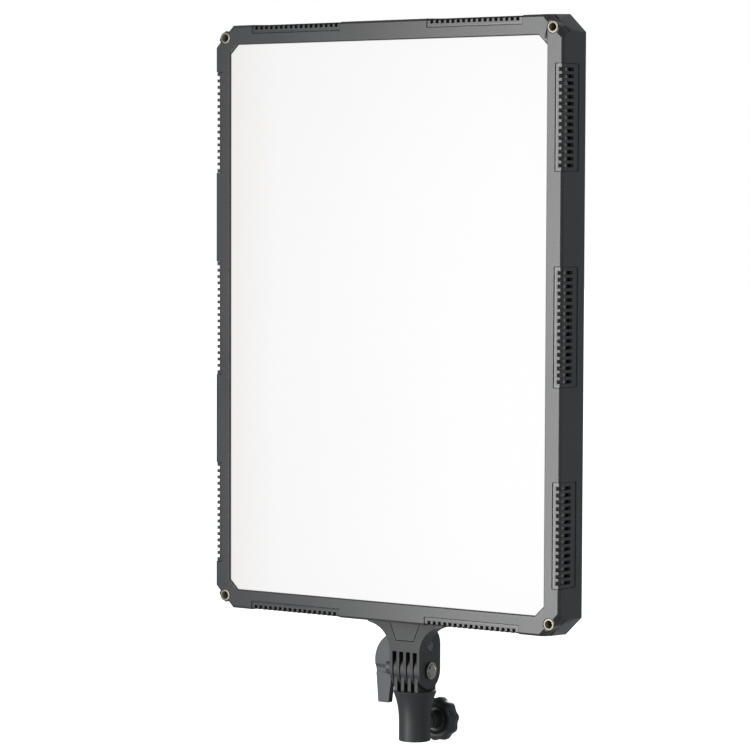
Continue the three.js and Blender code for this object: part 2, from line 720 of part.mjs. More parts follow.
// Three-pin mains inlet in the housing's underside, its mouth facing down.
function mainsInlet() {
  const lip = HOUSING_FOOT - GAP;
  const flange = socketBlock(INLET_X, INLET_W / 2 + 2.4, INLET_H / 2 + 2, [lip - 2, lip]);
  const body = socketBlock(INLET_X, INLET_W / 2, INLET_H / 2, [lip - 1, lip + 24]);
  const mouth = socketBlock(INLET_X, INLET_W / 2 - 1.6, INLET_H / 2 - 1.6, [lip - 3, lip + 15]);
  const blade = (x, y) => box(
    [INLET_X + x - 1, INLET_X + x + 1],
    [SOCKET_Y + y - 2, SOCKET_Y + y + 2],
    [lip + 1, lip + 16],
  );
  return joined(cut(flange.add(body), mouth), blade(-7, -2), blade(7, -2), blade(0, 2));
}

function switchHousing() {
  const lip = HOUSING_FOOT - GAP;
  return cut(
    joined(
      socketBlock(SWITCH_X, SWITCH_W / 2 + 1.5, SWITCH_H / 2 + 1.5, [lip - 1.6, lip]),
      socketBlock(SWITCH_X, SWITCH_W / 2, SWITCH_H / 2, [lip - 1, lip + 16]),
    ),
    socketBlock(SWITCH_X, SWITCH_W / 2 - 1.2, SWITCH_H / 2 - 1.2, [lip - 2, lip + 9]),
  );
}

// A rocker with a shallow V face, drawn about its own axis and left on its "off" side.
function powerRocker() {
  const half = SWITCH_W / 2 - 1.9;
  const outline = new THREE.Shape();
  outline.moveTo(-half, -4.2);
  outline.lineTo(0, -3);
  outline.lineTo(half, -4.2);
  outline.lineTo(half - 1, 1);
  outline.lineTo(2, 3.6);
  outline.lineTo(-2, 3.6);
  outline.lineTo(1 - half, 1);
  const depth = SWITCH_H / 2 - 1.6;
  return extrudeY(outline, -depth, depth);
}

// ---------------------------------------------------------------- tilt bracket
// The bracket and all it carries are placed from the middle of the tilt axis.

const wedgeTop = HEAD_TOP - 3;
const wedgeHalfWidth = (z) => WEDGE_HALF_W + WEDGE_SLOPE * (Math.min(z, WEDGE_SHOULDER) - WEDGE_FOOT);

// A dovetail outline at one depth, wider by the undercut as it goes back.
function wedgeRing(y, play, foot, top) {
  const grow = (WEDGE_UNDERCUT * (y + CHEEK_R)) / WEDGE_T + play;
  const right = [foot, WEDGE_SHOULDER, top].map((z) => [wedgeHalfWidth(z) + grow, z]);
  return { y, points: [...right, ...right.map(([x, z]) => [-x, z]).reverse()] };
}

const panelFloor = PANEL_H / 2 + PIVOT_DROP; // panel centre above the tilt axis
function wedgeScrewSpots() {
  return WEDGE_SCREW_RISES.map((rise) => rise - panelFloor);
}

function lockWedge() {
  const back = WEDGE_T - CHEEK_R;
  const wedge = loft([
    wedgeRing(-CHEEK_R, 0, WEDGE_FOOT, wedgeTop),
    wedgeRing(back, 0, WEDGE_FOOT, wedgeTop),
  ]);
  const holes = WEDGE_SCREW_RISES.flatMap((z) => [
    yRod(WEDGE_SCREW_R + GAP, 0, z, -CHEEK_R - 1, back + 1, 12),
    yRod(WEDGE_SCREW_R * 2 + GAP, 0, z, back - 3, back + 1, 12),
  ]);
  return cut(wedge, ...holes);
}

function wedgeScrews() {
  return WEDGE_SCREW_RISES.map((z, i) => {
    const head = WEDGE_T - CHEEK_R - GAP;
    const tip = -STANDOFF - WALL - PLATE_T - 1;
    const screw = mesh(
      `wedge_screw_${i + 1}`,
      turned(
        [[0, tip], [WEDGE_SCREW_R, tip], [WEDGE_SCREW_R, head - 2.4], [WEDGE_SCREW_R * 2, head - 2.4],
          [WEDGE_SCREW_R * 2, head], [0, head]],
        Y_AXIS,
        12,
      ),
      MATERIALS.steel,
    );
    screw.position.z = z;
    return screw;
  });
}

// Steel plate inside the rear cover that the wedge's screws pull against.
function backingPlate() {
  const y = -STANDOFF - WALL - GAP;
  const plate = box([-PLATE_HALF_W, PLATE_HALF_W], [y - PLATE_T, y], [WEDGE_SCREW_RISES[0] - 11, WEDGE_SCREW_RISES[1] + 14]);
  return cut(plate, ...WEDGE_SCREW_RISES.map((z) => yRod(WEDGE_SCREW_R + GAP, 0, z, y - 5, y + 1, 12)));
}

const RELEASE_SHOULDER = BRACKET_HALF_W - 13.6; // floor of the button's bore

// The flat head, which flares out of the cheeks just above the comb slots.
function bracketHead() {
  const head = new THREE.Shape();
  const flareEnd = 1.85; // radians round the flare's circle
  const shoulder = BRACKET_HALF_W + FLARE_R;
  const under = SLOT_TOP + FLARE_R + 0.8;
  const corner = [HEAD_HALF_W - HEAD_ROUND, HEAD_TOP - HEAD_ROUND];
  head.moveTo(-BRACKET_HALF_W, SLOT_TOP);
  head.lineTo(BRACKET_HALF_W, SLOT_TOP);
  head.absarc(shoulder, SLOT_TOP, FLARE_R, Math.PI, flareEnd, true);
  head.lineTo(HEAD_HALF_W, under);
  head.absarc(...corner, HEAD_ROUND, 0, Math.PI / 2, false);
  head.absarc(-corner[0], corner[1], HEAD_ROUND, Math.PI / 2, Math.PI, false);
  head.lineTo(-HEAD_HALF_W, under);
  head.absarc(-shoulder, SLOT_TOP, FLARE_R, Math.PI - flareEnd, 0, true);
  return extrudeY(head, -CHEEK_R, HEAD_D - CHEEK_R, 8);
}

function tiltBracket() {
  const cheek = new THREE.Shape();
  cheek.absarc(0, 0, CHEEK_R, Math.PI, 2 * Math.PI, false);
  cheek.absarc(0, BUTTON_RISE, CHEEK_R, 0, Math.PI, false);
  const body = extrudeX(cheek, -BRACKET_HALF_W, BRACKET_HALF_W, 10);
  const slots = Array.from({ length: BRACKET_FINS - 1 }, (_, i) => {
    const x = (i - (BRACKET_FINS - 2) / 2) * FIN_PITCH;
    const reach = CHEEK_R + 1;
    return box([x - FIN_SLOT / 2, x + FIN_SLOT / 2], [-reach, reach], [-reach, SLOT_TOP]);
  });
  const wedgeSlot = loft([
    wedgeRing(-CHEEK_R - 1, GAP, WEDGE_FOOT - GAP, HEAD_TOP + 5),
    wedgeRing(WEDGE_T - CHEEK_R + GAP, GAP, WEDGE_FOOT - GAP, HEAD_TOP + 5),
  ]);
  const boltHole = rod(BOLT_R + FIT, -BRACKET_HALF_W - 1, BRACKET_HALF_W + 1, X_AXIS);
  const buttonBore = joined(
    rod(RELEASE_R + FIT / 2, RELEASE_SHOULDER, BRACKET_HALF_W + 1, X_AXIS),
    rod(RELEASE_STEM_R + FIT, RELEASE_TIP - RELEASE_TRAVEL - 1, RELEASE_SHOULDER + 1, X_AXIS, 12),
  ).translate(0, 0, BUTTON_RISE);
  return cut(joined(body, bracketHead()), ...slots, wedgeSlot, boltHole, buttonBore);
}

// Drawn along x about its own axis.
function releaseButton() {
  const face = BRACKET_HALF_W + RELEASE_PROUD;
  return turned(
    [[0, RELEASE_TIP], [RELEASE_STEM_R, RELEASE_TIP], [RELEASE_STEM_R, face - RELEASE_HEAD],
      [RELEASE_R, face - RELEASE_HEAD], [RELEASE_R, face - 0.4], [RELEASE_R - 0.4, face], [0, face]],
    X_AXIS,
  );
}

class Helix extends THREE.Curve {
  constructor(radius, length, turns) {
    super();
    Object.assign(this, { radius, length, turns });
  }
  getPoint(t) {
    const angle = 2 * Math.PI * this.turns * t;
    const [y, z] = [Math.cos(angle) * this.radius, Math.sin(angle) * this.radius];
    return new THREE.Vector3(this.length * t, y, z);
  }
}

// The coil between the button's head and the floor of its bore.
function releaseSpring() {
  const wire = 0.45;
  const start = RELEASE_SHOULDER + GAP + wire;
  const end = BRACKET_HALF_W + RELEASE_PROUD - RELEASE_HEAD - GAP - wire;
  const path = new Helix(RELEASE_STEM_R + 1.3, end - start, 4);
  const section = circle(0, 0, wire);
  const g = new THREE.ExtrudeGeometry(section, { steps: 28, extrudePath: path, curveSegments: 2 });
  return solid(g).translate(start, 0, 0);
}

// The bolt's flange and domed head sit on the right cheek; its shank runs along x.
function tiltBolt() {
  const face = BRACKET_HALF_W + GAP;
  const dome = Array.from({ length: 5 }, (_, i) => {
    const angle = (i / 4) * (Math.PI / 2);
    return [6.6 * Math.cos(angle), face + 2.2 + 2.5 * Math.sin(angle)];
  });
  return turned(
    [[0, 0.5 - LEVER_BORE], [BOLT_R, 0.5 - LEVER_BORE], [BOLT_R, face], [9.4, face],
      [9.4, face + 2], [8.8, face + 2.5], [7.6, face + 2.5], [7, face + 1.6],
      ...dome.slice(0, -1), [0, dome[4][1]]],
    X_AXIS,
  );
}

const LEVER_FACE = BRACKET_HALF_W + LEVER_GAP; // hub's inner face, from the middle plane
const LEVER_BORE = LEVER_FACE + 10;

function leverWasher() {
  const outer = -BRACKET_HALF_W - GAP;
  const inner = GAP - LEVER_FACE;
  return turned(
    [[BOLT_R + FIT, inner], [8, inner], [8, outer], [BOLT_R + FIT, outer], [BOLT_R + FIT, inner]],
    X_AXIS,
  );
}

// Wing lever: a thin blade with a full upper wing and a longer, tapered lower one.
function wingLever() {
  const root = LEVER_FACE + 4;
  const wingZ = 6.8; // height of the outermost point
  const rise = Math.asin((LEVER_UP - wingZ) / LEVER_WING_R);
  const blade = new THREE.Shape();
  blade.moveTo(-root, 9);
  blade.lineTo(-root - 2, LEVER_UP - 5);
  blade.quadraticCurveTo(-root - 3, LEVER_UP, -root - 5.5, LEVER_UP);
  blade.absarc(LEVER_WING_R - LEVER_OUT, wingZ, LEVER_WING_R, Math.PI - rise, Math.PI, false);
  blade.lineTo(0.6 - LEVER_OUT, 0);
  blade.lineTo(2.2 - LEVER_OUT, -11);
  blade.lineTo(4.4 - LEVER_OUT, -LEVER_DOWN);
  blade.lineTo(18.2 - LEVER_OUT, -LEVER_DOWN);
  blade.lineTo(-root - 3, -11);
  const body = extrudeY(blade, -LEVER_T / 2, LEVER_T / 2);
  const hub = rod(LEVER_HUB_R, -LEVER_BORE - 2.5, -LEVER_FACE, X_AXIS);
  const saddles = [-1, 1].map((s) =>
    rod(8, -LEVER_OUT - 1, -LEVER_BORE - 2.5, X_AXIS).translate(0, s * (LEVER_T / 2 + 6), -2.5),
  );
  const nutPocket = rod(NUT_R + GAP, -LEVER_FACE - 8.2, -LEVER_FACE + 1, X_AXIS, 6);
  const bore = rod(BOLT_R + FIT, -LEVER_BORE, -LEVER_FACE + 1, X_AXIS);
  return cut(joined(cut(body, ...saddles), hub), nutPocket, bore);
}

function leverNut() {
  const [outer, inner] = [-LEVER_FACE - 8, -LEVER_FACE - GAP];
  return cut(
    rod(NUT_R, outer, inner, X_AXIS, 6),
    rod(BOLT_R + FIT, outer - 1, inner + 1, X_AXIS),
  );
}

// ---------------------------------------------------------------- stand receiver and lock
// Placed from the middle of the receiver's mouth.

function receiverFin() {
  const fin = new THREE.Shape();
  const [head, neck] = [CHEEK_R - 1.2, CHEEK_R - 2.8];
  const foot = RECEIVER_H - PIVOT_HEIGHT - 2;
  const meet = Math.acos(neck / head);
  fin.moveTo(-neck, foot);
  fin.lineTo(neck, foot);
  fin.absarc(0, 0, head, -meet, Math.PI + meet, false);
  return fin;
}

function standReceiver() {
  const wall = new THREE.Path();
  wall.moveTo(RECEIVER_R, 16);
  wall.quadraticCurveTo(RECEIVER_R + 0.3, RECEIVER_H - 12, RIM_R - 0.2, RECEIVER_H - LIP_T);
  const flare = wall.getPoints(5).map((p) => [p.x, p.y]);
  const body = turned(
    [[0, 0], [RECEIVER_R - 0.6, 0], [RECEIVER_R, 0.6], ...flare,
      [RIM_R, RECEIVER_H - LIP_T + 0.2], [RIM_R, RECEIVER_H], [0, RECEIVER_H]],
    Z_AXIS,
    28,
  );
  const lockBoss = yRod(LOCK_BOSS_R, 0, LOCK_Z, 6, LOCK_BOSS_Y);
  const bore = turned(
    [[0, -1], [BORE_R + 1.8, -1], [BORE_R, 0.8], [BORE_R, BORE_DEPTH], [0, BORE_DEPTH + 3]],
    Z_AXIS,
    20,
  );
  const screwWay = yRod(LOCK_SCREW_R + FIT, 0, LOCK_Z, 2, LOCK_BOSS_Y + 1);
  const bushPocket = yRod(LOCK_BUSH_R + GAP, 0, LOCK_Z, LOCK_BUSH_Y - GAP, LOCK_BOSS_Y + 1);
  const fins = Array.from({ length: BRACKET_FINS - 1 }, (_, i) => {
    const x = (i - (BRACKET_FINS - 2) / 2) * FIN_PITCH;
    const half = RECEIVER_FIN_T / 2;
    const fin = extrudeX(receiverFin(), x - half, x + half, 10).translate(0, 0, PIVOT_HEIGHT);
    return fin;
  });
  const boltHole = rod(BOLT_R + FIT, -RIM_R, RIM_R, X_AXIS).translate(0, 0, PIVOT_HEIGHT);
  return cut(joined(body, lockBoss, ...fins), bore, screwWay, bushPocket, boltHole);
}

function lockBush() {
  const [y0, y1, r] = [LOCK_BUSH_Y, LOCK_BOSS_Y - 0.2, LOCK_SCREW_R + FIT];
  return turned([[r, y0], [LOCK_BUSH_R, y0], [LOCK_BUSH_R, y1], [r, y1], [r, y0]], Y_AXIS);
}

function thrustPad() {
  return rod(LOCK_SCREW_R - 0.3, BORE_R + 0.1, BORE_R + 0.1 + PAD_T, Y_AXIS);
}

function lockScrew() {
  const tip = BORE_R + 0.1 + PAD_T + GAP;
  return rod(LOCK_SCREW_R, tip, LOCK_KNOB_Y + 9, Y_AXIS, 16);
}

// A round outline with rounded lobes: radius at the lobes, depth of the hollows between.
function lobed(radius, depth, lobes, perLobe) {
  return Array.from({ length: lobes * perLobe }, (_, i) => {
    const angle = (2 * Math.PI * i) / (lobes * perLobe) - Math.PI / 2;
    const r = radius - (depth * (1 - Math.cos(lobes * angle - (lobes * Math.PI) / 2))) / 2;
    return [r * Math.cos(angle), r * Math.sin(angle)];
  });
}

function starKnob() {
  const ring = (y, radius, depth) => ({ y: LOCK_KNOB_Y + y, points: lobed(radius, depth, LOCK_LOBES, 4) });
  const body = loft([
    ring(0, LOCK_KNOB_R - 5, LOCK_LOBE_DEPTH / 4),
    ring(4, LOCK_KNOB_R - 0.8, LOCK_LOBE_DEPTH * 0.8),
    ring(LOCK_KNOB_T - 2.5, LOCK_KNOB_R, LOCK_LOBE_DEPTH),
    ring(LOCK_KNOB_T, LOCK_KNOB_R - 2.4, LOCK_LOBE_DEPTH * 0.8),
  ]);
  const dish = turned(
    [[8.4, LOCK_KNOB_Y - 1], [16, LOCK_KNOB_Y - 1], [14, LOCK_KNOB_Y + 3.4], [8.4, LOCK_KNOB_Y + 3.4],
      [8.4, LOCK_KNOB_Y - 1]],
    Y_AXIS,
  );
  const hub = rod(8.4, LOCK_BOSS_Y + 3.4, LOCK_KNOB_Y + 5, Y_AXIS);
  const bore = rod(LOCK_SCREW_R + GAP, LOCK_BOSS_Y, LOCK_KNOB_Y + 9 + GAP, Y_AXIS, 16);
  return cut(joined(cut(body, dish), hub), bore);
}

// ---------------------------------------------------------------- assembly

function lampPieces() {
  const m = MATERIALS;
  const sinks = [-1, 1].map((s) => {
    const sink = mesh(`heat_sink_${s < 0 ? "left" : "right"}`, heatSink(), m.aluminium);
    sink.position.x = s * SINK_X;
    return sink;
  });
  const dials = ["brightness", "colour"].flatMap((name, i) => {
    const knob = mesh(`${name}_dial`, dialKnob(), m.black);
    const shaft = mesh(`${name}_shaft`, dialShaft(), m.steel);
    for (const piece of [knob, shaft]) piece.position.set((2 * i - 1) * -KNOB_X, 0, DIAL_Z);
    return [knob, shaft];
  });
  const buttons = BUTTON_NAMES.map((name, i) => {
    const button = mesh(`${name}_button`, pushButton(), m.black);
    button.position.set(-BUTTON_XS[i], 0, BUTTON_Z);
    return button;
  });
  const rocker = mesh("power_rocker", powerRocker(), m.black);
  rocker.position.set(SWITCH_X, SOCKET_Y, HOUSING_FOOT - GAP + ROCKER_RISE);
  rocker.rotation.y = THREE.MathUtils.degToRad(ROCKER_TILT);
  return [
    mesh("front_frame", frontFrame(), m.casing),
    ...grilles(),
    ...cornerInserts(),
    mesh("diffuser", diffuser(), m.opal),
    mesh("reflector_frame", reflectorFrame(), m.white),
    mesh("led_board", ledBoard(), m.board),
    mesh("led_tray", ledTray(), m.aluminium),
    ...sinks,
    mesh("power_board", powerBoard(), m.circuit),
    mesh("control_board", controlBoard(), m.circuit),
    mesh("rear_cover", rearCover(), m.cover),
    ...coverScrews(),
    mesh("display_window", displayWindow(), m.glass),
    ...dials,
    ...buttons,
    mesh("mains_inlet", mainsInlet(), m.black),
    mesh("switch_housing", switchHousing(), m.black),
    rocker,
  ];
}

function bracketPieces() {
  const m = MATERIALS;
  const button = mesh("release_button", releaseButton(), m.cast);
  const spring = mesh("release_spring", releaseSpring(), m.steel);
  for (const piece of [button, spring]) piece.position.z = BUTTON_RISE;
  return [
    mesh("tilt_bracket", tiltBracket(), m.cast),
    mesh("lock_wedge", lockWedge(), m.cast),
    ...wedgeScrews(),
    mesh("backing_plate", backingPlate(), m.steel),
    button,
    spring,
    mesh("tilt_bolt", tiltBolt(), m.chrome),
    mesh("lever_washer", leverWasher(), m.steel),
    mesh("wing_lever", wingLever(), m.casing),
    mesh("lever_nut", leverNut(), m.brass),
  ];
}

function standPieces() {
  const m = MATERIALS;
  const lock = [
    mesh("lock_bush", lockBush(), m.brass),
    mesh("thrust_pad", thrustPad(), m.brass),
    mesh("lock_screw", lockScrew(), m.steel),
    mesh("lock_knob", starKnob(), m.black),
  ];
  for (const piece of lock) piece.position.z = LOCK_Z;
  lock[3].rotation.y = THREE.MathUtils.degToRad(LOCK_REST);
  return [mesh("stand_receiver", standReceiver(), m.cast), ...lock];
}

const lamp = new THREE.Group();
lamp.position.set(0, -STANDOFF - PANEL_D, panelFloor);
lamp.add(...lampPieces());

const tilting = new THREE.Group();
tilting.position.z = PIVOT_HEIGHT;
tilting.add(lamp, ...bracketPieces());

const light = new THREE.Group();
light.add(tilting, ...standPieces());

export default light;
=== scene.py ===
"""LED panel light on a tilting stand bracket: its visual model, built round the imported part."""

import json
import math

import bmesh
import bpy
from mathutils import Matrix, Vector


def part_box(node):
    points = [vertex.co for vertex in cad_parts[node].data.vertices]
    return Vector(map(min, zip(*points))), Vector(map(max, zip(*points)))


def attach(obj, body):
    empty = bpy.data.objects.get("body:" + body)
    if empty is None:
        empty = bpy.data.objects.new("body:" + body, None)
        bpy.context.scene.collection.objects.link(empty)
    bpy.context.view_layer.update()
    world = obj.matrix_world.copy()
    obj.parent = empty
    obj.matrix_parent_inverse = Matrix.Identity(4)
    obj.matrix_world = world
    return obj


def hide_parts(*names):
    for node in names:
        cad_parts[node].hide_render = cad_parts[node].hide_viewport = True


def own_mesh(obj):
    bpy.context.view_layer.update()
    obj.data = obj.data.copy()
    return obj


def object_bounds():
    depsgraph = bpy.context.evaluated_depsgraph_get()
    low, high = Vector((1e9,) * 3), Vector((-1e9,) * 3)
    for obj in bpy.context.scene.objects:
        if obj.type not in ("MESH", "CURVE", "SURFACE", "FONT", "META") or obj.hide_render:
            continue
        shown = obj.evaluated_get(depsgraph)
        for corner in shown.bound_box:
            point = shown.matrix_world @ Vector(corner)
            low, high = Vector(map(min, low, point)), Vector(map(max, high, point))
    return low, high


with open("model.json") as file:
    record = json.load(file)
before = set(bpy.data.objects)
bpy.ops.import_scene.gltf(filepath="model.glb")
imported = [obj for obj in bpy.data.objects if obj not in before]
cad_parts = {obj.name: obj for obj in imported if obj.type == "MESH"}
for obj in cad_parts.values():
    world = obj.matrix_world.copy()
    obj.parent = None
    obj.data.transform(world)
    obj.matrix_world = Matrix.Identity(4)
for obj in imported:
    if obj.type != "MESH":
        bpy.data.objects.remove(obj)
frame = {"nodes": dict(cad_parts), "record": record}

cad_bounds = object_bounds()

# ---- Camera
# Stands a little to the right of the light and above its middle, some three metres off,
# with a long lens. It is aimed from the middle of the lamp's front face.
frame_low, frame_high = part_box("front_frame")
AIM = Vector((0, frame_low.y, (frame_low.z + frame_high.z) / 2))
AZIMUTH, ELEVATION, ROLL = (math.radians(a) for a in (34.29, 3.54, 0.2))
ASIDE, BELOW, DISTANCE = 0.0074, 0.0823, 3.315

camera = bpy.data.objects.new("camera", bpy.data.cameras.new("camera"))
bpy.context.scene.collection.objects.link(camera)
bpy.context.scene.camera = camera
turn = (
    Matrix.Rotation(AZIMUTH, 4, "Z")
    @ Matrix.Rotation(math.pi / 2 - ELEVATION, 4, "X")
    @ Matrix.Rotation(ROLL, 4, "Z")
)
camera.matrix_world = Matrix.Translation(AIM + turn @ Vector((-ASIDE, -BELOW, DISTANCE))) @ turn
camera.data.lens = 149.6
camera.data.sensor_width = 36
camera.data.shift_y = 0.0333
camera.data.clip_end = 100

# ---- Stand receiver
# Die-cast socket that drops over a stand's spigot, with four hinge fins on its rim and a boss
# for the lock screw. Aluminium with a dark powder coat; its lip is lighter, partly wear and partly a painted
# highlight.
MM = 0.001
X, Y, Z = Vector((1, 0, 0)), Vector((0, 1, 0)), Vector((0, 0, 1))
HINGES = {joint["name"]: joint for joint in frame["record"]["behaviour"]["joints"]}
PIVOT = Vector(HINGES["tilt"]["pos_m"]) / MM


def box_mm(node):
    """A node's lowest and highest corners, in millimetres."""
    low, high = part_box(node)
    return Vector(low) / MM, Vector(high) / MM


def arc(centre, radius, start, end, steps):
    """Points round part of a circle, angles in degrees."""
    angles = (math.radians(start + (end - start) * i / steps) for i in range(steps + 1))
    return [(centre[0] + radius * math.cos(a), centre[1] + radius * math.sin(a)) for a in angles]


def spin(bm, outline, along, centre, steps=72):
    """Turns an outline of (radius, station) points once round an axis."""
    across = Z if along is not Z else X
    verts = [bm.verts.new(centre + across * r + along * s) for r, s in outline]
    pairs = list(zip(verts, verts[1:]))
    edges = [bm.edges.new(pair) for pair in pairs]
    bmesh.ops.spin(
        bm, geom=verts + edges, cent=centre, axis=along, angle=2 * math.pi, steps=steps, use_merge=True,
    )
    bmesh.ops.remove_doubles(bm, verts=bm.verts, dist=0.002)
    bmesh.ops.delete(bm, geom=[e for e in bm.edges if e.is_wire], context="EDGES")


def push(bm, points, way):
    """A flat outline of 3-D points, pushed through by a vector into a closed block."""
    face = bm.faces.new([bm.verts.new(p) for p in points])
    grown = bmesh.ops.extrude_face_region(bm, geom=[face])["geom"]
    verts = [g for g in grown if isinstance(g, bmesh.types.BMVert)]
    bmesh.ops.translate(bm, vec=way, verts=verts)


def carve(bm, tool):
    """Cuts one closed shape out of another."""
    made = []
    for shape in (bm, tool):
        bmesh.ops.recalc_face_normals(shape, faces=shape.faces)
        mesh = bpy.data.meshes.new("shape")
        shape.to_mesh(mesh)
        made.append(bpy.data.objects.new("shape", mesh))
        bpy.context.scene.collection.objects.link(made[-1])
    cut = made[0].modifiers.new("cut", "BOOLEAN")
    cut.operation, cut.object = "DIFFERENCE", made[1]
    bm.clear()
    bm.from_object(made[0], bpy.context.evaluated_depsgraph_get())
    tool.free()
    for shape in made:
        mesh = shape.data
        bpy.data.objects.remove(shape)
        bpy.data.meshes.remove(mesh)


def soften(bm, width, segments=3, sharp=30):
    """Rounds each sharp edge that has room for it."""
    def roomy(edge):
        near = (other for vert in edge.verts for other in vert.link_edges)
        return all(other.calc_length() > 2.2 * width for other in near)

    edges = [
        e for e in bm.edges
        if e.is_manifold and e.calc_face_angle(0) > math.radians(sharp) and roomy(e)
    ]
    bmesh.ops.bevel(
        bm, geom=edges, affect="EDGES", offset=width, segments=segments, profile=0.5, material=-1,
    )


def from_frame(node):
    """A merged copy of a CAD node, in millimetres, with its flat faces made whole."""
    bm = bmesh.new()
    bm.from_mesh(frame["nodes"][node].data)
    bmesh.ops.scale(bm, vec=(1 / MM,) * 3, verts=bm.verts)
    bmesh.ops.remove_doubles(bm, verts=bm.verts, dist=0.002)
    bmesh.ops.dissolve_limit(bm, angle_limit=math.radians(1), verts=bm.verts, edges=bm.edges)
    return bm


def piece(bm, name, body, slot, finish, *stands_for, sharp=38):
    """Turns a mesh drawn in millimetres into a finished, placed and painted piece."""
    bmesh.ops.remove_doubles(bm, verts=bm.verts, dist=0.002)
    bmesh.ops.dissolve_degenerate(bm, edges=bm.edges, dist=0.002)
    bmesh.ops.recalc_face_normals(bm, faces=bm.faces)
    bmesh.ops.scale(bm, vec=(MM,) * 3, verts=bm.verts)
    mesh = bpy.data.meshes.new(name)
    bm.to_mesh(mesh)
    bm.free()
    mesh.shade_smooth()
    mesh.set_sharp_from_angle(angle=math.radians(sharp))
    mesh.materials.append(finish)
    made = bpy.data.objects.new(name, mesh)
    bpy.context.scene.collection.objects.link(made)
    made.modifiers.new("flat faces stay flat", "WEIGHTED_NORMAL").keep_sharp = True
    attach(made, body)
    if stands_for:
        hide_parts(*stands_for)
    return made


class Field:
    """A shader socket: arithmetic on it adds the Math nodes."""

    def __init__(self, finish, socket):
        self.finish, self.socket = finish, socket

    def maths(self, operation, a, b):
        return self.finish.add("ShaderNodeMath", {"operation": operation}, {0: a, 1: b})

    def __add__(self, other):
        return self.maths("ADD", self, other)

    def __sub__(self, other):
        return self.maths("SUBTRACT", self, other)

    def __rsub__(self, other):
        return self.maths("SUBTRACT", other, self)

    def __mul__(self, other):
        return self.maths("MULTIPLY", self, other)

    __radd__, __rmul__ = __add__, __mul__


class Finish:
    """A procedural material, with one method that adds any node."""

    def __init__(self, name, **constants):
        self.material = bpy.data.materials.new(name)
        self.material.use_nodes = True
        self.tree = self.material.node_tree
        self.shader = self.tree.nodes["Principled BSDF"]
        for socket, value in constants.items():
            self.shader.inputs[socket.replace("_", " ")].default_value = value
        self.here = self.add("ShaderNodeTexCoord", out="Object")

    def add(self, kind, settings=None, values=None, out=0):
        """Adds a node: its settings first, then the values or links of its sockets."""
        node = self.tree.nodes.new(kind)
        for key, value in (settings or {}).items():
            if key == "stops":
                for index, (at, colour) in enumerate(value):
                    stops = node.color_ramp.elements
                    stop = stops[index] if index < 2 else stops.new(at)
                    stop.position, stop.color = at, colour
            else:
                setattr(node, key, value)
        for key, value in (values or {}).items():
            if isinstance(value, Field):
                self.tree.links.new(value.socket, node.inputs[key])
            else:
                node.inputs[key].default_value = value
        return Field(self, node.outputs[out])

    def noise(self, scale, detail=3.0, stretch=(1, 1, 1)):
        """Noise on the piece's own coordinates, its scale in features to the metre."""
        at = self.add("ShaderNodeMapping", values={"Vector": self.here, "Scale": stretch})
        values = {"Vector": at, "Scale": scale, "Detail": detail}
        return self.add("ShaderNodeTexNoise", values=values, out="Fac")

    def ramp(self, field, low, high, dark, light):
        """Goes from a dark to a light colour as a field rises from low to high."""
        settings = {"stops": [(low, dark), (high, light)]}
        return self.add("ShaderNodeValToRGB", settings, {"Fac": field}, "Color")

    def span(self, field, low, high, start=0.0, end=1.0):
        """Stretches a field's start to end over low to high, and holds it there beyond."""
        values = {"Value": field, "From Min": start, "From Max": end, "To Min": low, "To Max": high}
        return self.add("ShaderNodeMapRange", values=values)

    def edges(self):
        """1 on outward edges and 0 on flat faces, from the surface's own curvature."""
        return self.span(self.add("ShaderNodeNewGeometry", out="Pointiness"), 0, 1, 0.53, 0.6)

    def drive(self, socket, field):
        """Links a field to one of the shader's own sockets."""
        self.tree.links.new(field.socket, self.shader.inputs[socket])

    def relief(self, height, depth_mm, ease_mm=0.0):
        """Bumps the surface by a height field of full swing depth_mm, and eases its edges."""
        values = {"Height": height, "Distance": depth_mm * MM}
        if ease_mm:
            eased = {"Radius": ease_mm * MM}
            values["Normal"] = self.add("ShaderNodeBevel", {"samples": 6}, eased, "Normal")
        self.drive("Normal", self.add("ShaderNodeBump", values=values, out="Normal"))


def tint(value, cool=1.05):
    """A grey that leans to blue where cool is over 1, and to yellow below."""
    return (value * 0.98, value, value * cool, 1)


def powder_coated(name, shade, roughness=0.4):
    """Powder coat on a casting: a low orange-peel swell under a finer speckle."""
    made = Finish(name)
    swell, speckle, clouds = made.noise(700, 2), made.noise(3200, 1), made.noise(30, 2)
    # Edges and lips come out lighter and a little glossier: partly wear, partly a painted highlight along
    # rims.
    edge_mask = made.edges()
    tone = clouds * 0.6 + edge_mask * 0.5
    made.drive("Base Color", made.ramp(tone, 0.18, 0.8, tint(shade * 0.85), tint(shade * 2)))
    made.drive("Roughness", made.span(speckle, roughness - 0.07, roughness + 0.09) - edge_mask * 0.1)
    made.relief(swell * 0.7 + speckle * 0.3, 0.02)
    return made.material


def plated(name, colour, roughness=0.22, stretch=(1, 1, 1)):
    """Plated or machined metal: fine tool lines and a little uneven polish."""
    made = Finish(name, Metallic=1.0)
    lines, clouds = made.noise(900, 3, stretch), made.noise(120, 3)
    dark = tuple(c * 0.8 for c in colour) + (1,)
    made.drive("Base Color", made.ramp(clouds, 0.3, 0.7, dark, tuple(colour) + (1,)))
    made.drive("Roughness", made.span(lines * 0.6 + clouds * 0.4, roughness * 0.6, roughness * 1.4))
    made.relief(lines, 0.004)
    return made.material


RECEIVER_H, SOCKET_R = 55.4, 17.4
SPIGOT_R, SPIGOT_TOP, MOUTH_R = 8.3, 46, 10.1
FLARE_START, FLARE_OUT, FLARE_POWER, FLARE_STEPS = 16, 6.4, 2.6, 24
RIM_R, RIM_LIP = 24, 1.3
SCREW_HOLE_R, BUSH_HOLE_R = 4.3, 6.7
BOSS_R, BOSS_ROOT, BOSS_END = 9, 9.5, 24
FIN_COUNT, FIN_T, FIN_PITCH = 4, 4.2, 8.8
FIN_HEAD, FIN_NECK, FIN_SUNK = 19.6, 18, 2

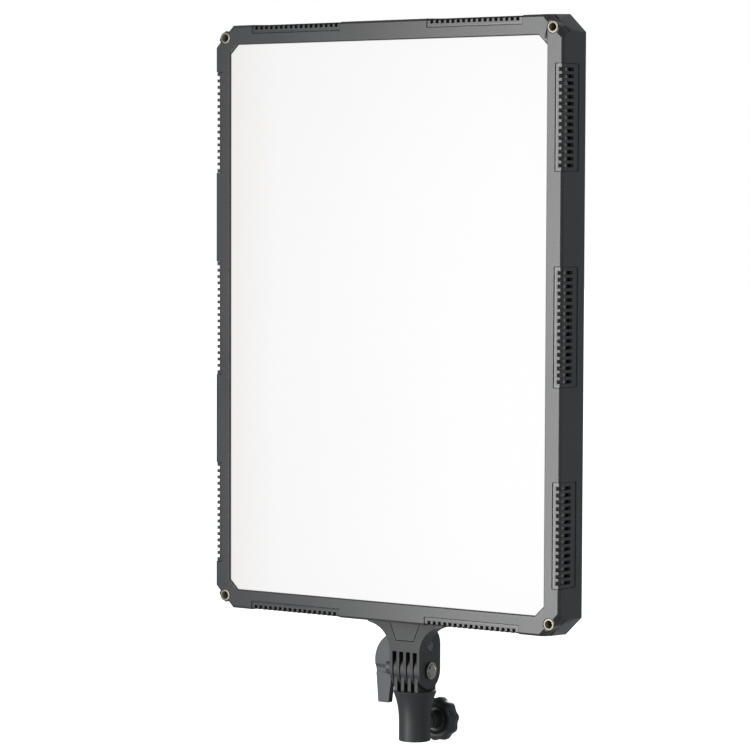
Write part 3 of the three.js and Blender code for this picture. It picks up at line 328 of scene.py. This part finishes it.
cast_grey = powder_coated("cast_grey", 0.018, 0.48)
bm = bmesh.new()
flare = []
for i in range(FLARE_STEPS + 1):
    t = i / FLARE_STEPS
    height = FLARE_START + (RECEIVER_H - RIM_LIP - FLARE_START) * t
    flare.append((SOCKET_R + FLARE_OUT * t ** FLARE_POWER, height))
mouth = [(MOUTH_R, 0), (16.8, 0), (17.25, 0.2), (SOCKET_R, 0.6)]
rim = [(RIM_R - 0.05, RECEIVER_H - RIM_LIP + 0.3), (RIM_R, RECEIVER_H - 0.5), (RIM_R - 0.4, RECEIVER_H)]
inside = [(0, RECEIVER_H), (0, SPIGOT_TOP + 3), (SPIGOT_R, SPIGOT_TOP), (SPIGOT_R, 0.8), (MOUTH_R, 0)]
spin(bm, mouth + flare + rim + inside, Z, Vector((0, 0, 0)), 96)
lock_axis = Vector((0, 0, HINGES["lock_knob_turn"]["pos_m"][2] / MM))
bush_low, bush_high = box_mm("lock_bush")
bore = bmesh.new()
step = bush_low.y - 0.3
hole = [(0, 3), (SCREW_HOLE_R, 3), (SCREW_HOLE_R, step), (BUSH_HOLE_R, step), (BUSH_HOLE_R, 23), (0, 23)]
spin(bore, hole, Y, lock_axis, 48)
carve(bm, bore)
boss = [
    (BUSH_HOLE_R, 14), (BUSH_HOLE_R, 23.8), (7.1, BOSS_END), (8.5, BOSS_END), (BOSS_R, 23.5),
    (BOSS_R, BOSS_ROOT), (BUSH_HOLE_R, BOSS_ROOT), (BUSH_HOLE_R, 14),
]
spin(bm, boss, Y, lock_axis, 48)
meet = math.degrees(math.acos(FIN_NECK / FIN_HEAD))
root = RECEIVER_H - FIN_SUNK - PIVOT.z
fin = [(FIN_NECK, root)] + arc((0, 0), FIN_HEAD, -meet, 180 + meet, 48) + [(-FIN_NECK, root)]
for i in range(FIN_COUNT):
    left = (i - (FIN_COUNT - 1) / 2) * FIN_PITCH - FIN_T / 2
    push(bm, [Vector((left, y, PIVOT.z + z)) for y, z in fin], X * FIN_T)
soften(bm, 0.35, 2, 60)
piece(bm, "receiver_casting", "stand_receiver", "cast_metal", cast_grey, "stand_receiver")

# ---- Lock screw, its bush and the star knob
# A turned brass bush is pressed into the boss. The steel screw pushes a brass pad on the
# spigot, and a moulded star knob with a dished face turns it.
brass = plated("turned_brass", (0.22, 0.2, 0.155), 0.42)
steel = plated("zinc_steel", (0.42, 0.42, 0.44), 0.32)
pad_low, pad_high = box_mm("thrust_pad")
screw_low, screw_high = box_mm("lock_screw")

BUSH_R, BUSH_BORE_R = 6.4, 4.3
bm = bmesh.new()
bush = [
    (BUSH_BORE_R, bush_low.y), (BUSH_R, bush_low.y), (BUSH_R, bush_high.y - 0.4), (6.0, bush_high.y),
    (4.7, bush_high.y), (BUSH_BORE_R, bush_high.y - 0.4), (BUSH_BORE_R, bush_low.y),
]
spin(bm, bush, Y, lock_axis, 48)
piece(bm, "bush_turning", "stand_receiver", "insert_brass", brass, "lock_bush")

PAD_R = 3.7
bm = bmesh.new()
pad = [
    (0, pad_low.y), (3.4, pad_low.y), (PAD_R, pad_low.y + 0.3), (PAD_R, pad_high.y), (0, pad_high.y),
]
spin(bm, pad, Y, lock_axis, 48)
piece(bm, "pad_turning", "lock_pad", "insert_brass", brass, "thrust_pad")

SCREW_R, SCREW_ROOT_R, SCREW_PITCH, THREAD_END = 4, 3.4, 1.25, 30
bm = bmesh.new()
threads = []
station = screw_low.y + 0.8
while station < THREAD_END:
    threads += [(SCREW_ROOT_R, station), (SCREW_R, station + SCREW_PITCH / 2)]
    station += SCREW_PITCH
tip = [(0, screw_low.y), (3.2, screw_low.y)]
shank = [(SCREW_R, THREAD_END + 1), (SCREW_R, screw_high.y), (0, screw_high.y)]
spin(bm, tip + threads + shank, Y, lock_axis, 40)
piece(bm, "lock_screw_thread", "lock_knob", "screw_steel", steel, "lock_screw", sharp=25)

KNOB_LOBES, KNOB_REST = 10, math.radians(80)
KNOB_RINGS = [  # station on the axis, radius, depth of the hollows between the lobes
    (48.2, 4.3, 0), (27.4, 4.3, 0), (27.4, 7.8, 0), (27.9, 8.3, 0), (36, 8.6, 0), (41.2, 9.2, 0),
    (42.3, 10.4, 0), (42.3, 13.0, 0), (41.2, 14.6, 0), (39.4, 15.8, 0), (38.9, 16.6, 0.1),
    (38.9, 19.6, 0.5), (39.4, 20.9, 0.9), (41.4, 23.4, 1.2), (43.4, 24.5, 1.6), (45.4, 25, 1.9),
    (50.2, 25, 1.9), (51.6, 24.6, 1.8), (52.7, 23.5, 1.6), (53.2, 22.2, 1.3), (53.2, 12, 0),
    (52.6, 11, 0), (52.6, 0.5, 0),
]


def lobed_ring(bm, station, radius, hollow, centre, lobes, first, per_lobe=16):
    """One closed ring of edges, its radius dipping between the lobes."""
    verts = []
    for i in range(lobes * per_lobe):
        angle = 2 * math.pi * i / (lobes * per_lobe)
        r = radius - hollow * (1 - math.cos(lobes * (angle - first))) / 2
        verts.append(bm.verts.new(centre + Vector((r * math.cos(angle), station, r * math.sin(angle)))))
    return [bm.edges.new((a, b)) for a, b in zip(verts, verts[1:] + verts[:1])]


def lobed_body(bm, rings, centre, lobes, first, per_lobe=16):
    """Rings bridged into one skin and closed at both ends."""
    loops = [lobed_ring(bm, *ring, centre, lobes, first, per_lobe) for ring in rings]
    for near, far in zip(loops, loops[1:]):
        bmesh.ops.bridge_loops(bm, edges=near + far)
    for loop in (loops[0], loops[-1]):
        bmesh.ops.edgeloop_fill(bm, edges=loop)


def moulded(name, shade, roughness=0.42, grain=0.012, cool=1.05, ease=0.7):
    """Spark-textured moulded plastic: fine even grain, faint flow clouding, rubbed edges.

    grain is the depth of the texture and ease the radius of the edges, both in millimetres.
    """
    made = Finish(name)
    grains, clouds = made.noise(2400, 2), made.noise(11, 3)
    edge_mask = made.edges()
    mix = clouds * 0.7 + grains * 0.3 + edge_mask * 0.12
    made.drive("Base Color", made.ramp(mix, 0.3, 0.75, tint(shade * 0.86, cool), tint(shade * 1.2, cool)))
    gloss = made.span(clouds * 0.5 + grains * 0.5, roughness - 0.05, roughness + 0.05)
    made.drive("Roughness", gloss - edge_mask * 0.06)
    made.relief(grains, grain, ease)
    return made.material


knob_grey = moulded("knob_grey", 0.022, 0.4)
bm = bmesh.new()
lobed_body(bm, KNOB_RINGS, lock_axis, KNOB_LOBES, KNOB_REST)
piece(bm, "star_knob_moulding", "lock_knob", "knob_plastic", knob_grey, "lock_knob", sharp=50)

# ---- Tilt bracket and its wedge
# Die-cast comb that meshes with the receiver's fins and flares into a flat head. The lamp's
# dovetail wedge drops into the head and is held by two screws into a plate inside the cover.
bm = from_frame("tilt_bracket")
soften(bm, 0.6, 3, 40)
piece(bm, "bracket_casting", "lamp", "cast_metal", cast_grey, "tilt_bracket")
bm = from_frame("lock_wedge")
soften(bm, 0.3, 2, 40)
piece(bm, "wedge_casting", "lamp", "cast_metal", cast_grey, "lock_wedge")
bm = from_frame("backing_plate")
soften(bm, 0.3, 2, 40)
piece(bm, "plate_blank", "lamp", "screw_steel", steel, "backing_plate")

# A paler cast finish for the button; its lighter rim is partly wear and partly a painted highlight.
cast_wear_and_sheen = powder_coated("cast_wear_and_sheen", 0.1, 0.3)
BUTTON_R, BUTTON_STEM_R, BUTTON_HEAD = 5.3, 2.6, 5.6
button_low, button_high = box_mm("release_button")
button_axis = Vector((0, 0, (button_low.z + button_high.z) / 2))
face = button_high.x
bm = bmesh.new()
stem = [(0, button_low.x), (BUTTON_STEM_R, button_low.x), (BUTTON_STEM_R, face - BUTTON_HEAD)]
head = [(BUTTON_R, face - BUTTON_HEAD), (BUTTON_R, face - 0.5), (5.15, face - 0.15), (4.8, face)]
dish = [(4.1, face), (3.8, face - 0.35), (3.4, face - 0.45), (0, face - 0.45)]
spin(bm, stem + head + dish, X, button_axis, 48)
piece(bm, "button_turning", "release_button", "cast_metal", cast_wear_and_sheen, "release_button")
# The spring behind the button gets its own mesh; the share of its length that the button's travel would
# leave is worked out but not applied.
spring_low, spring_high = box_mm("release_spring")
RELEASE_TRAVEL = HINGES["release_press"]["range_m"][1] / MM
bm = from_frame("release_spring")
coil = piece(bm, "spring_winding", "lamp", "screw_steel", steel, "release_spring")
keep = 1 - RELEASE_TRAVEL / (spring_high.x - spring_low.x)
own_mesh(coil)
for i in (1, 2):
    bm = from_frame(f"wedge_screw_{i}")
    piece(bm, f"wedge_screw_turning_{i}", "lamp", "screw_steel", steel, f"wedge_screw_{i}")

# ---- Tilt bolt, washer and wing lever
# A chromed bolt with a domed head runs through the comb. Its nut is moulded into the wing
# lever, which clamps the fins together. Lever in the same grey plastic as the casing.
chrome = plated("chrome", (0.34, 0.33, 0.3), 0.12)
lever_grey = moulded("lever_grey", 0.045, 0.4)
BOLT_R, FLANGE_R, HEAD_H = 4, 9.4, 4.7
DOME_R, DOME_H = 6.5, 2.5
bolt_low, bolt_high = box_mm("tilt_bolt")
head_face = bolt_high.x - HEAD_H
shank = [(0, bolt_low.x), (3.6, bolt_low.x), (BOLT_R, bolt_low.x + 0.4), (BOLT_R, head_face)]
flange = [
    (9.2, head_face), (FLANGE_R, head_face + 0.2), (FLANGE_R, head_face + 1.9), (9.25, head_face + 2.2),
    (8.9, head_face + 2.4), (7.8, head_face + 2.4), (7.4, head_face + 2.2), (7, head_face + 1.7),
    (DOME_R, head_face + 1.7),
]
dome = []
for degrees in range(90, -1, -9):
    a = math.radians(degrees)
    dome.append((DOME_R * math.sin(a), bolt_high.x - DOME_H * (1 - math.cos(a))))
bm = bmesh.new()
spin(bm, shank + flange + dome, X, PIVOT, 96)
piece(bm, "bolt_turning", "lamp", "bolt_chrome", chrome, "tilt_bolt", sharp=60)

WASHER_R, WASHER_BORE_R = 8, 4.3
washer_low, washer_high = box_mm("lever_washer")
bm = bmesh.new()
washer = [
    (WASHER_BORE_R, washer_low.x), (7.8, washer_low.x), (WASHER_R, washer_low.x + 0.2),
    (WASHER_R, washer_high.x), (WASHER_BORE_R, washer_high.x), (WASHER_BORE_R, washer_low.x),
]
spin(bm, washer, X, PIVOT, 64)
piece(bm, "washer_turning", "lamp", "screw_steel", steel, "lever_washer")

bm = from_frame("wing_lever")
soften(bm, 0.7, 3, 40)
piece(bm, "lever_moulding", "tilt_lever", "lever_plastic", lever_grey, "wing_lever")
bm = from_frame("lever_nut")
soften(bm, 0.3, 2, 40)
piece(bm, "nut_turning", "tilt_lever", "insert_brass", brass, "lever_nut")

# ---- Front frame and vent grilles
# One moulded frame makes the bezel and the side walls. Ten slotted grilles clip in from
# behind and wrap round its front edge, each set back a little with a thin dark seam.
casing_grey = moulded("casing_grey", 0.026, 0.32, 0.006)
GRILLES = [node for node in frame["nodes"] if node.startswith("vent_grille_")]
GRILLE_FRONT, GRILLE_SIDE, GRILLE_LAP, GRILLE_GAP = 9.4, 30, 2, 0.3
GRILLE_CORNER = 2.6
EDGE_CHAMFER, EDGE_ROUND = 1.9, 0.75


def round_corners(bm, nodes, gap):
    """Rounds the four corners of each grille's outline, or of its window where gap is 0."""
    posts = []
    for node in nodes:
        low, high = box_mm(node)
        run, side = (2, 0) if "left_" in node or "right_" in node else (0, 2)
        outer = low if abs(low[side] - AIM[side] / MM) > abs(high[side] - AIM[side] / MM) else high
        inward = 1 if outer is low else -1
        ends = (low[run] + GRILLE_LAP + gap, high[run] - GRILLE_LAP - gap)
        wall = (frame_low if outer is low else frame_high)[side] / MM
        front, back = wall + inward * (GRILLE_FRONT - gap), frame_low.y / MM + GRILLE_SIDE - gap

        def at_corner(co):
            at_end = min(abs(co[run] - end) for end in ends) < 0.1
            return at_end and (abs(co[side] - front) < 0.1, abs(co.y - back) < 0.1)

        for edge in bm.edges:
            first, second = (at_corner(vert.co) for vert in edge.verts)
            across = abs((edge.verts[0].co - edge.verts[1].co)[run]) < 0.1
            if first and second and across and any(a and b for a, b in zip(first, second)):
                posts.append(edge)
    bmesh.ops.bevel(
        bm, geom=list(dict.fromkeys(posts)), affect="EDGES", offset=GRILLE_CORNER, segments=4,
        profile=0.5, material=-1,
    )


def ease_long_edges(bm, depths, width, shortest=20):
    """Rounds the long straight edges at some depths behind the front face."""
    def eased(edge):
        sunk = [vert.co.y - frame_low.y / MM for vert in edge.verts]
        return any(all(abs(s - depth) < 0.15 for s in sunk) for depth in depths)

    edges = [
        e for e in bm.edges
        if e.is_manifold and e.is_convex and e.calc_length() > shortest and eased(e)
        and e.calc_face_angle(0) > math.radians(25)
    ]
    bmesh.ops.bevel(
        bm, geom=edges, affect="EDGES", offset=width, segments=3, profile=0.5, material=-1,
    )


bm = from_frame("front_frame")
round_corners(bm, GRILLES, 0)
ease_long_edges(bm, (0, EDGE_CHAMFER), EDGE_ROUND)
piece(bm, "front_frame_moulding", "lamp", "casing_plastic", casing_grey, "front_frame")
for node in GRILLES:
    bm = from_frame(node)
    round_corners(bm, [node], GRILLE_GAP)
    piece(bm, node + "_moulding", "lamp", "casing_plastic", casing_grey, node)

# ---- Corner inserts
# Four turned brass bushes with a thread inside, pressed into the frame's corner bosses.
# Accessories screw to them from the front.
INSERT_R, INSERT_BORE_R, INSERT_ROOT_R, INSERT_PITCH = 6.3, 3.65, 4.0, 0.8
for i in range(1, 5):
    low, high = box_mm(f"corner_insert_{i}")
    centre = Vector(((low.x + high.x) / 2, 0, (low.z + high.z) / 2))
    thread, station = [], high.y - 0.6
    while station > low.y + 1.2:
        thread += [(INSERT_BORE_R, station), (INSERT_ROOT_R, station - INSERT_PITCH / 2)]
        station -= INSERT_PITCH
    sleeve = [(INSERT_BORE_R, high.y), (INSERT_R, high.y), (INSERT_R, low.y + 0.5), (6.15, low.y + 0.15)]
    lip = [(5.8, low.y), (4.4, low.y), (INSERT_BORE_R, low.y + 0.7)]
    bm = bmesh.new()
    spin(bm, sleeve + lip + thread[::-1] + [(INSERT_BORE_R, high.y)], Y, centre, 64)
    piece(bm, f"insert_turning_{i}", "lamp", "insert_brass", brass, f"corner_insert_{i}", sharp=25)

# ---- Light box
# Opal acrylic sheet in front, a white moulded reflector frame, then an aluminium board of
# emitters in a folded tray, with two extruded heat sinks on the back of the tray.
opal = Finish("opal_sheet", Roughness=0.42, Base_Color=(0.12, 0.12, 0.12, 1), Emission_Strength=0.75)
# It glows a little less towards its left edge.
FADE_START, FADE_END = -0.204, -0.14
across = opal.add("ShaderNodeSeparateXYZ", values={"Vector": opal.here}, out="X")
rim_fade = opal.span(across, 0, 1, FADE_START, FADE_END)
glow = rim_fade * 0.7 + opal.noise(4, 1) * 0.2 + opal.noise(60, 2) * 0.1
opal.drive("Emission Color", opal.ramp(glow, 0.1, 0.9, (0.84, 0.83, 0.8, 1), (0.94, 0.92, 0.93, 1)))
opal.relief(opal.noise(900, 2), 0.004)
sheet = from_frame("diffuser")
soften(sheet, 0.4, 2, 40)
piece(sheet, "diffuser_sheet", "lamp", "opal_sheet", opal.material, "diffuser")

white_plastic = moulded("white_plastic", 0.78, 0.45, 0.01, 0.98)
mill_sheet = plated("mill_sheet", (0.72, 0.73, 0.75), 0.3, (1, 1, 12))
extruded = plated("extruded_aluminium", (0.6, 0.61, 0.63), 0.3, (14, 14, 1))
bm = from_frame("reflector_frame")
soften(bm, 0.3, 2, 40)
piece(bm, "reflector_moulding", "lamp", "white_plastic", white_plastic, "reflector_frame")
bm = from_frame("led_tray")
soften(bm, 0.4, 2, 40)
piece(bm, "tray_folding", "lamp", "tray_sheet", mill_sheet, "led_tray")
for side in ("left", "right"):
    bm = from_frame(f"heat_sink_{side}")
    soften(bm, 0.3, 2, 40)
    piece(bm, f"sink_extrusion_{side}", "lamp", "sink_aluminium", extruded, f"heat_sink_{side}")

lamp_board = moulded("solder_mask_white", 0.74, 0.35, 0.004, 0.98)
bm = from_frame("led_board")
piece(bm, "emitter_board", "lamp", "lamp_board", lamp_board, "led_board")
phosphor = Finish("phosphor", Roughness=0.3, Emission_Strength=0.6)
grain, cells = phosphor.noise(1500, 2), phosphor.noise(800, 2)
OCHRE, YELLOW = (0.75, 0.5, 0.06, 1), (0.95, 0.75, 0.2, 1)
AMBER_GLOW, WARM_GLOW = (1, 0.8, 0.5, 1), (1, 0.95, 0.85, 1)
phosphor.drive("Base Color", phosphor.ramp(grain, 0.3, 0.7, OCHRE, YELLOW))
phosphor.drive("Emission Color", phosphor.ramp(cells, 0.3, 0.7, AMBER_GLOW, WARM_GLOW))
board_face = box_mm("led_board")[0].y
EMITTER_COLUMNS, EMITTER_ROWS, EMITTER_PITCH = 14, 20, 29
EMITTER_W, EMITTER_T, EMITTER_H = 3.5, 0.7, 2.8
bm = bmesh.new()
for column in range(EMITTER_COLUMNS):
    for row in range(EMITTER_ROWS):
        at = Vector((
            (column - (EMITTER_COLUMNS - 1) / 2) * EMITTER_PITCH, board_face - EMITTER_T / 2,
            AIM.z / MM + (row - (EMITTER_ROWS - 1) / 2) * EMITTER_PITCH,
        ))
        grown = Matrix.Diagonal((EMITTER_W, EMITTER_T, EMITTER_H, 1))
        bmesh.ops.create_cube(bm, size=1, matrix=Matrix.Translation(at) @ grown)
piece(bm, "emitters", "lamp", "lamp_board", phosphor.material)

# ---- Circuit boards
# The mains converter and the control board behind the dials, both out of sight inside the
# cover. Glass-fibre laminate under green lacquer, with raised copper tracks.
laminate = Finish("green_laminate", Roughness=0.35)
tracks = laminate.noise(420, 4)
LACQUER_DARK, LACQUER_LIGHT = (0.006, 0.07, 0.025, 1), (0.012, 0.13, 0.05, 1)
laminate.drive("Base Color", laminate.ramp(tracks, 0.42, 0.58, LACQUER_DARK, LACQUER_LIGHT))
laminate.relief(tracks, 0.03)
for node in ("power_board", "control_board"):
    bm = from_frame(node)
    soften(bm, 0.3, 2, 40)
    piece(bm, node + "_assembly", "lamp", "circuit_board", laminate.material, node)

# ---- Rear cover
# Black moulded cover with a raised housing for the electronics and two banks of cooling
# slots, held by eight steel screws round its edge.
cover_black = moulded("cover_black", 0.016, 0.44, 0.016)
bm = from_frame("rear_cover")
piece(bm, "rear_cover_moulding", "lamp", "cover_plastic", cover_black, "rear_cover")
for i in range(1, 9):
    bm = from_frame(f"cover_screw_{i}")
    piece(bm, f"cover_screw_turning_{i}", "lamp", "screw_steel", steel, f"cover_screw_{i}")

# ---- Display, dials and buttons
# The controls on the back of the housing: a window over a small lit display, two fluted
# dials on steel shafts, and three push buttons.
control_black = moulded("control_black", 0.02, 0.38, ease=0)
window = Finish("display_glass", Roughness=0.06)
SMOKE_DARK, SMOKE_LIGHT = (0.004, 0.005, 0.008, 1), (0.008, 0.01, 0.014, 1)
window.drive("Base Color", window.ramp(window.noise(20, 2), 0.3, 0.7, SMOKE_DARK, SMOKE_LIGHT))
bm = from_frame("display_window")
soften(bm, 0.3, 2, 40)
piece(bm, "display_pane", "lamp", "window", window.material, "display_window")
# Two rows of level bars glow on the pane, one for each dial.
BAR_COUNT, BAR_PITCH, BAR_W, BAR_T = 10, 6, 3.6, 0.1
BAR_LIT, BAR_UNLIT, BAR_FOOT = 8, 1.6, 4
pane_low, pane_high = box_mm("display_window")
bar_glow = Finish("display_bars", Roughness=0.3, Emission_Strength=0.5)
even = bar_glow.noise(300, 1)
bar_glow.drive("Base Color", bar_glow.ramp(even, 0.3, 0.7, (0.03, 0.1, 0.12, 1), (0.05, 0.14, 0.16, 1)))
bar_glow.drive("Emission Color", bar_glow.ramp(even, 0.3, 0.7, (0.1, 0.5, 0.6, 1), (0.16, 0.62, 0.7, 1)))
bm = bmesh.new()
for row, lit in ((9, 8), (-9, 5)):
    for bar in range(BAR_COUNT):
        tall = BAR_LIT if bar < lit else BAR_UNLIT
        height = (pane_low.z + pane_high.z) / 2 + row - BAR_FOOT + tall / 2
        at = Vector(((bar - (BAR_COUNT - 1) / 2) * BAR_PITCH, pane_high.y, height))
        grown = Matrix.Diagonal((BAR_W, BAR_T, tall, 1))
        bmesh.ops.create_cube(bm, size=1, matrix=Matrix.Translation(at) @ grown)
piece(bm, "display_level_bars", "lamp", "window", bar_glow.material)

DIAL_FLUTES, SHAFT_HOLE_R, SHAFT_HOLE = 20, 3.3, 3
for name in ("brightness", "colour"):
    low, high = box_mm(f"{name}_dial")
    centre = Vector(((low.x + high.x) / 2, 0, (low.z + high.z) / 2))
    dial = f"{name}_dial"
    rings = [  # station on the axis, radius, depth of the flutes
        (high.y - SHAFT_HOLE, SHAFT_HOLE_R, 0), (low.y, SHAFT_HOLE_R, 0), (low.y, 10.6, 0.6),
        (low.y + 0.4, 11, 0.8), (high.y - 1.6, 10.5, 0.8), (high.y - 0.7, 10.2, 0.7),
        (high.y, 9.2, 0.3), (high.y, 8.2, 0), (high.y - 0.5, 7.6, 0), (high.y - 0.7, 7, 0),
        (high.y - 0.7, 5, 0),
    ]
    bm = bmesh.new()
    lobed_body(bm, rings, centre, DIAL_FLUTES, 0, 6)
    piece(bm, dial + "_moulding", dial, "control_plastic", control_black, dial, sharp=50)
    bm = from_frame(f"{name}_shaft")
    piece(bm, f"{name}_shaft_turning", dial, "screw_steel", steel, f"{name}_shaft")
for button in ("menu_button", "mode_button", "power_level_button"):
    bm = from_frame(button)
    piece(bm, button + "_moulding", button, "control_plastic", control_black, button)

# ---- Mains inlet and switch
# The mains socket and the power switch, both black mouldings that snap into the underside
# of the housing. The switch's rocker turns in its own bezel.
for node in ("mains_inlet", "switch_housing"):
    bm = from_frame(node)
    soften(bm, 0.35, 2, 40)
    piece(bm, node + "_moulding", "lamp", "control_plastic", control_black, node)
bm = from_frame("power_rocker")
soften(bm, 0.35, 2, 25)
piece(bm, "power_rocker_moulding", "power_rocker", "control_plastic", control_black, "power_rocker")

# ---- Floor and studio light
# A broad self-lit floor well below the socket takes no shadow and throws no light on the lamp.
# A tall box at the front left glances off the bezel, a thin strip in front catches its edges
# and a wide box lights the back. The surround is paler to the camera than as a light.
FLOOR_DROP, FLOOR_HALF = 0.7, 40
SURROUND_LIGHT, SURROUND_SEEN = 0.42, 1.0
paper = Finish("pale_paper", Roughness=0.9, Emission_Color=(1, 1, 1, 1), Emission_Strength=1.0)
paper.drive("Base Color", paper.ramp(paper.noise(6, 2), 0.2, 0.8, (0.8, 0.8, 0.8, 1), (0.84, 0.84, 0.84, 1)))
bm = bmesh.new()
bmesh.ops.create_grid(bm, x_segments=1, y_segments=1, size=FLOOR_HALF)
bmesh.ops.translate(bm, vec=(0, 0, cad_bounds[0][2] - FLOOR_DROP), verts=bm.verts)
floor_mesh = bpy.data.meshes.new("floor")
bm.to_mesh(floor_mesh)
bm.free()
floor_mesh.materials.append(paper.material)
floor = bpy.data.objects.new("floor", floor_mesh)
bpy.context.scene.collection.objects.link(floor)
floor.visible_diffuse = floor.visible_glossy = floor.visible_shadow = False

bpy.context.scene.view_settings.view_transform = "Standard"
world = bpy.data.worlds.new("studio")
bpy.context.scene.world = world
world.use_nodes = True
sky = world.node_tree
fill = sky.nodes["Background"]
fill.inputs["Color"].default_value = (0.95, 0.98, 1, 1)
fill.inputs["Strength"].default_value = SURROUND_LIGHT
backdrop = sky.nodes.new("ShaderNodeBackground")
backdrop.inputs["Color"].default_value = (1, 1, 1, 1)
backdrop.inputs["Strength"].default_value = SURROUND_SEEN
path = sky.nodes.new("ShaderNodeLightPath")
mix = sky.nodes.new("ShaderNodeMixShader")
sky.links.new(path.outputs["Is Camera Ray"], mix.inputs["Fac"])
sky.links.new(fill.outputs[0], mix.inputs[1])
sky.links.new(backdrop.outputs[0], mix.inputs[2])
sky.links.new(mix.outputs[0], sky.nodes["World Output"].inputs["Surface"])


def soft_box(name, azimuth, elevation, distance, size, power):
    """A rectangular lamp aimed at the middle of the panel; azimuth 0 is straight in front of it."""
    lamp = bpy.data.lights.new(name, "AREA")
    lamp.shape = "RECTANGLE"
    lamp.size, lamp.size_y = size
    lamp.energy = power
    placed = bpy.data.objects.new(name, lamp)
    bpy.context.scene.collection.objects.link(placed)
    round_z = Matrix.Rotation(math.radians(azimuth), 4, "Z")
    turn = round_z @ Matrix.Rotation(math.radians(90 - elevation), 4, "X")
    placed.matrix_world = Matrix.Translation(AIM + turn @ Vector((0, 0, distance))) @ turn


soft_box("key_box", -23, -4, 1.5, (0.34, 1.5), 22)
soft_box("edge_strip", 5, 0, 1.5, (0.08, 1.4), 3)
soft_box("rear_box", 203, 4, 2.2, (1.1, 1.5), 45)
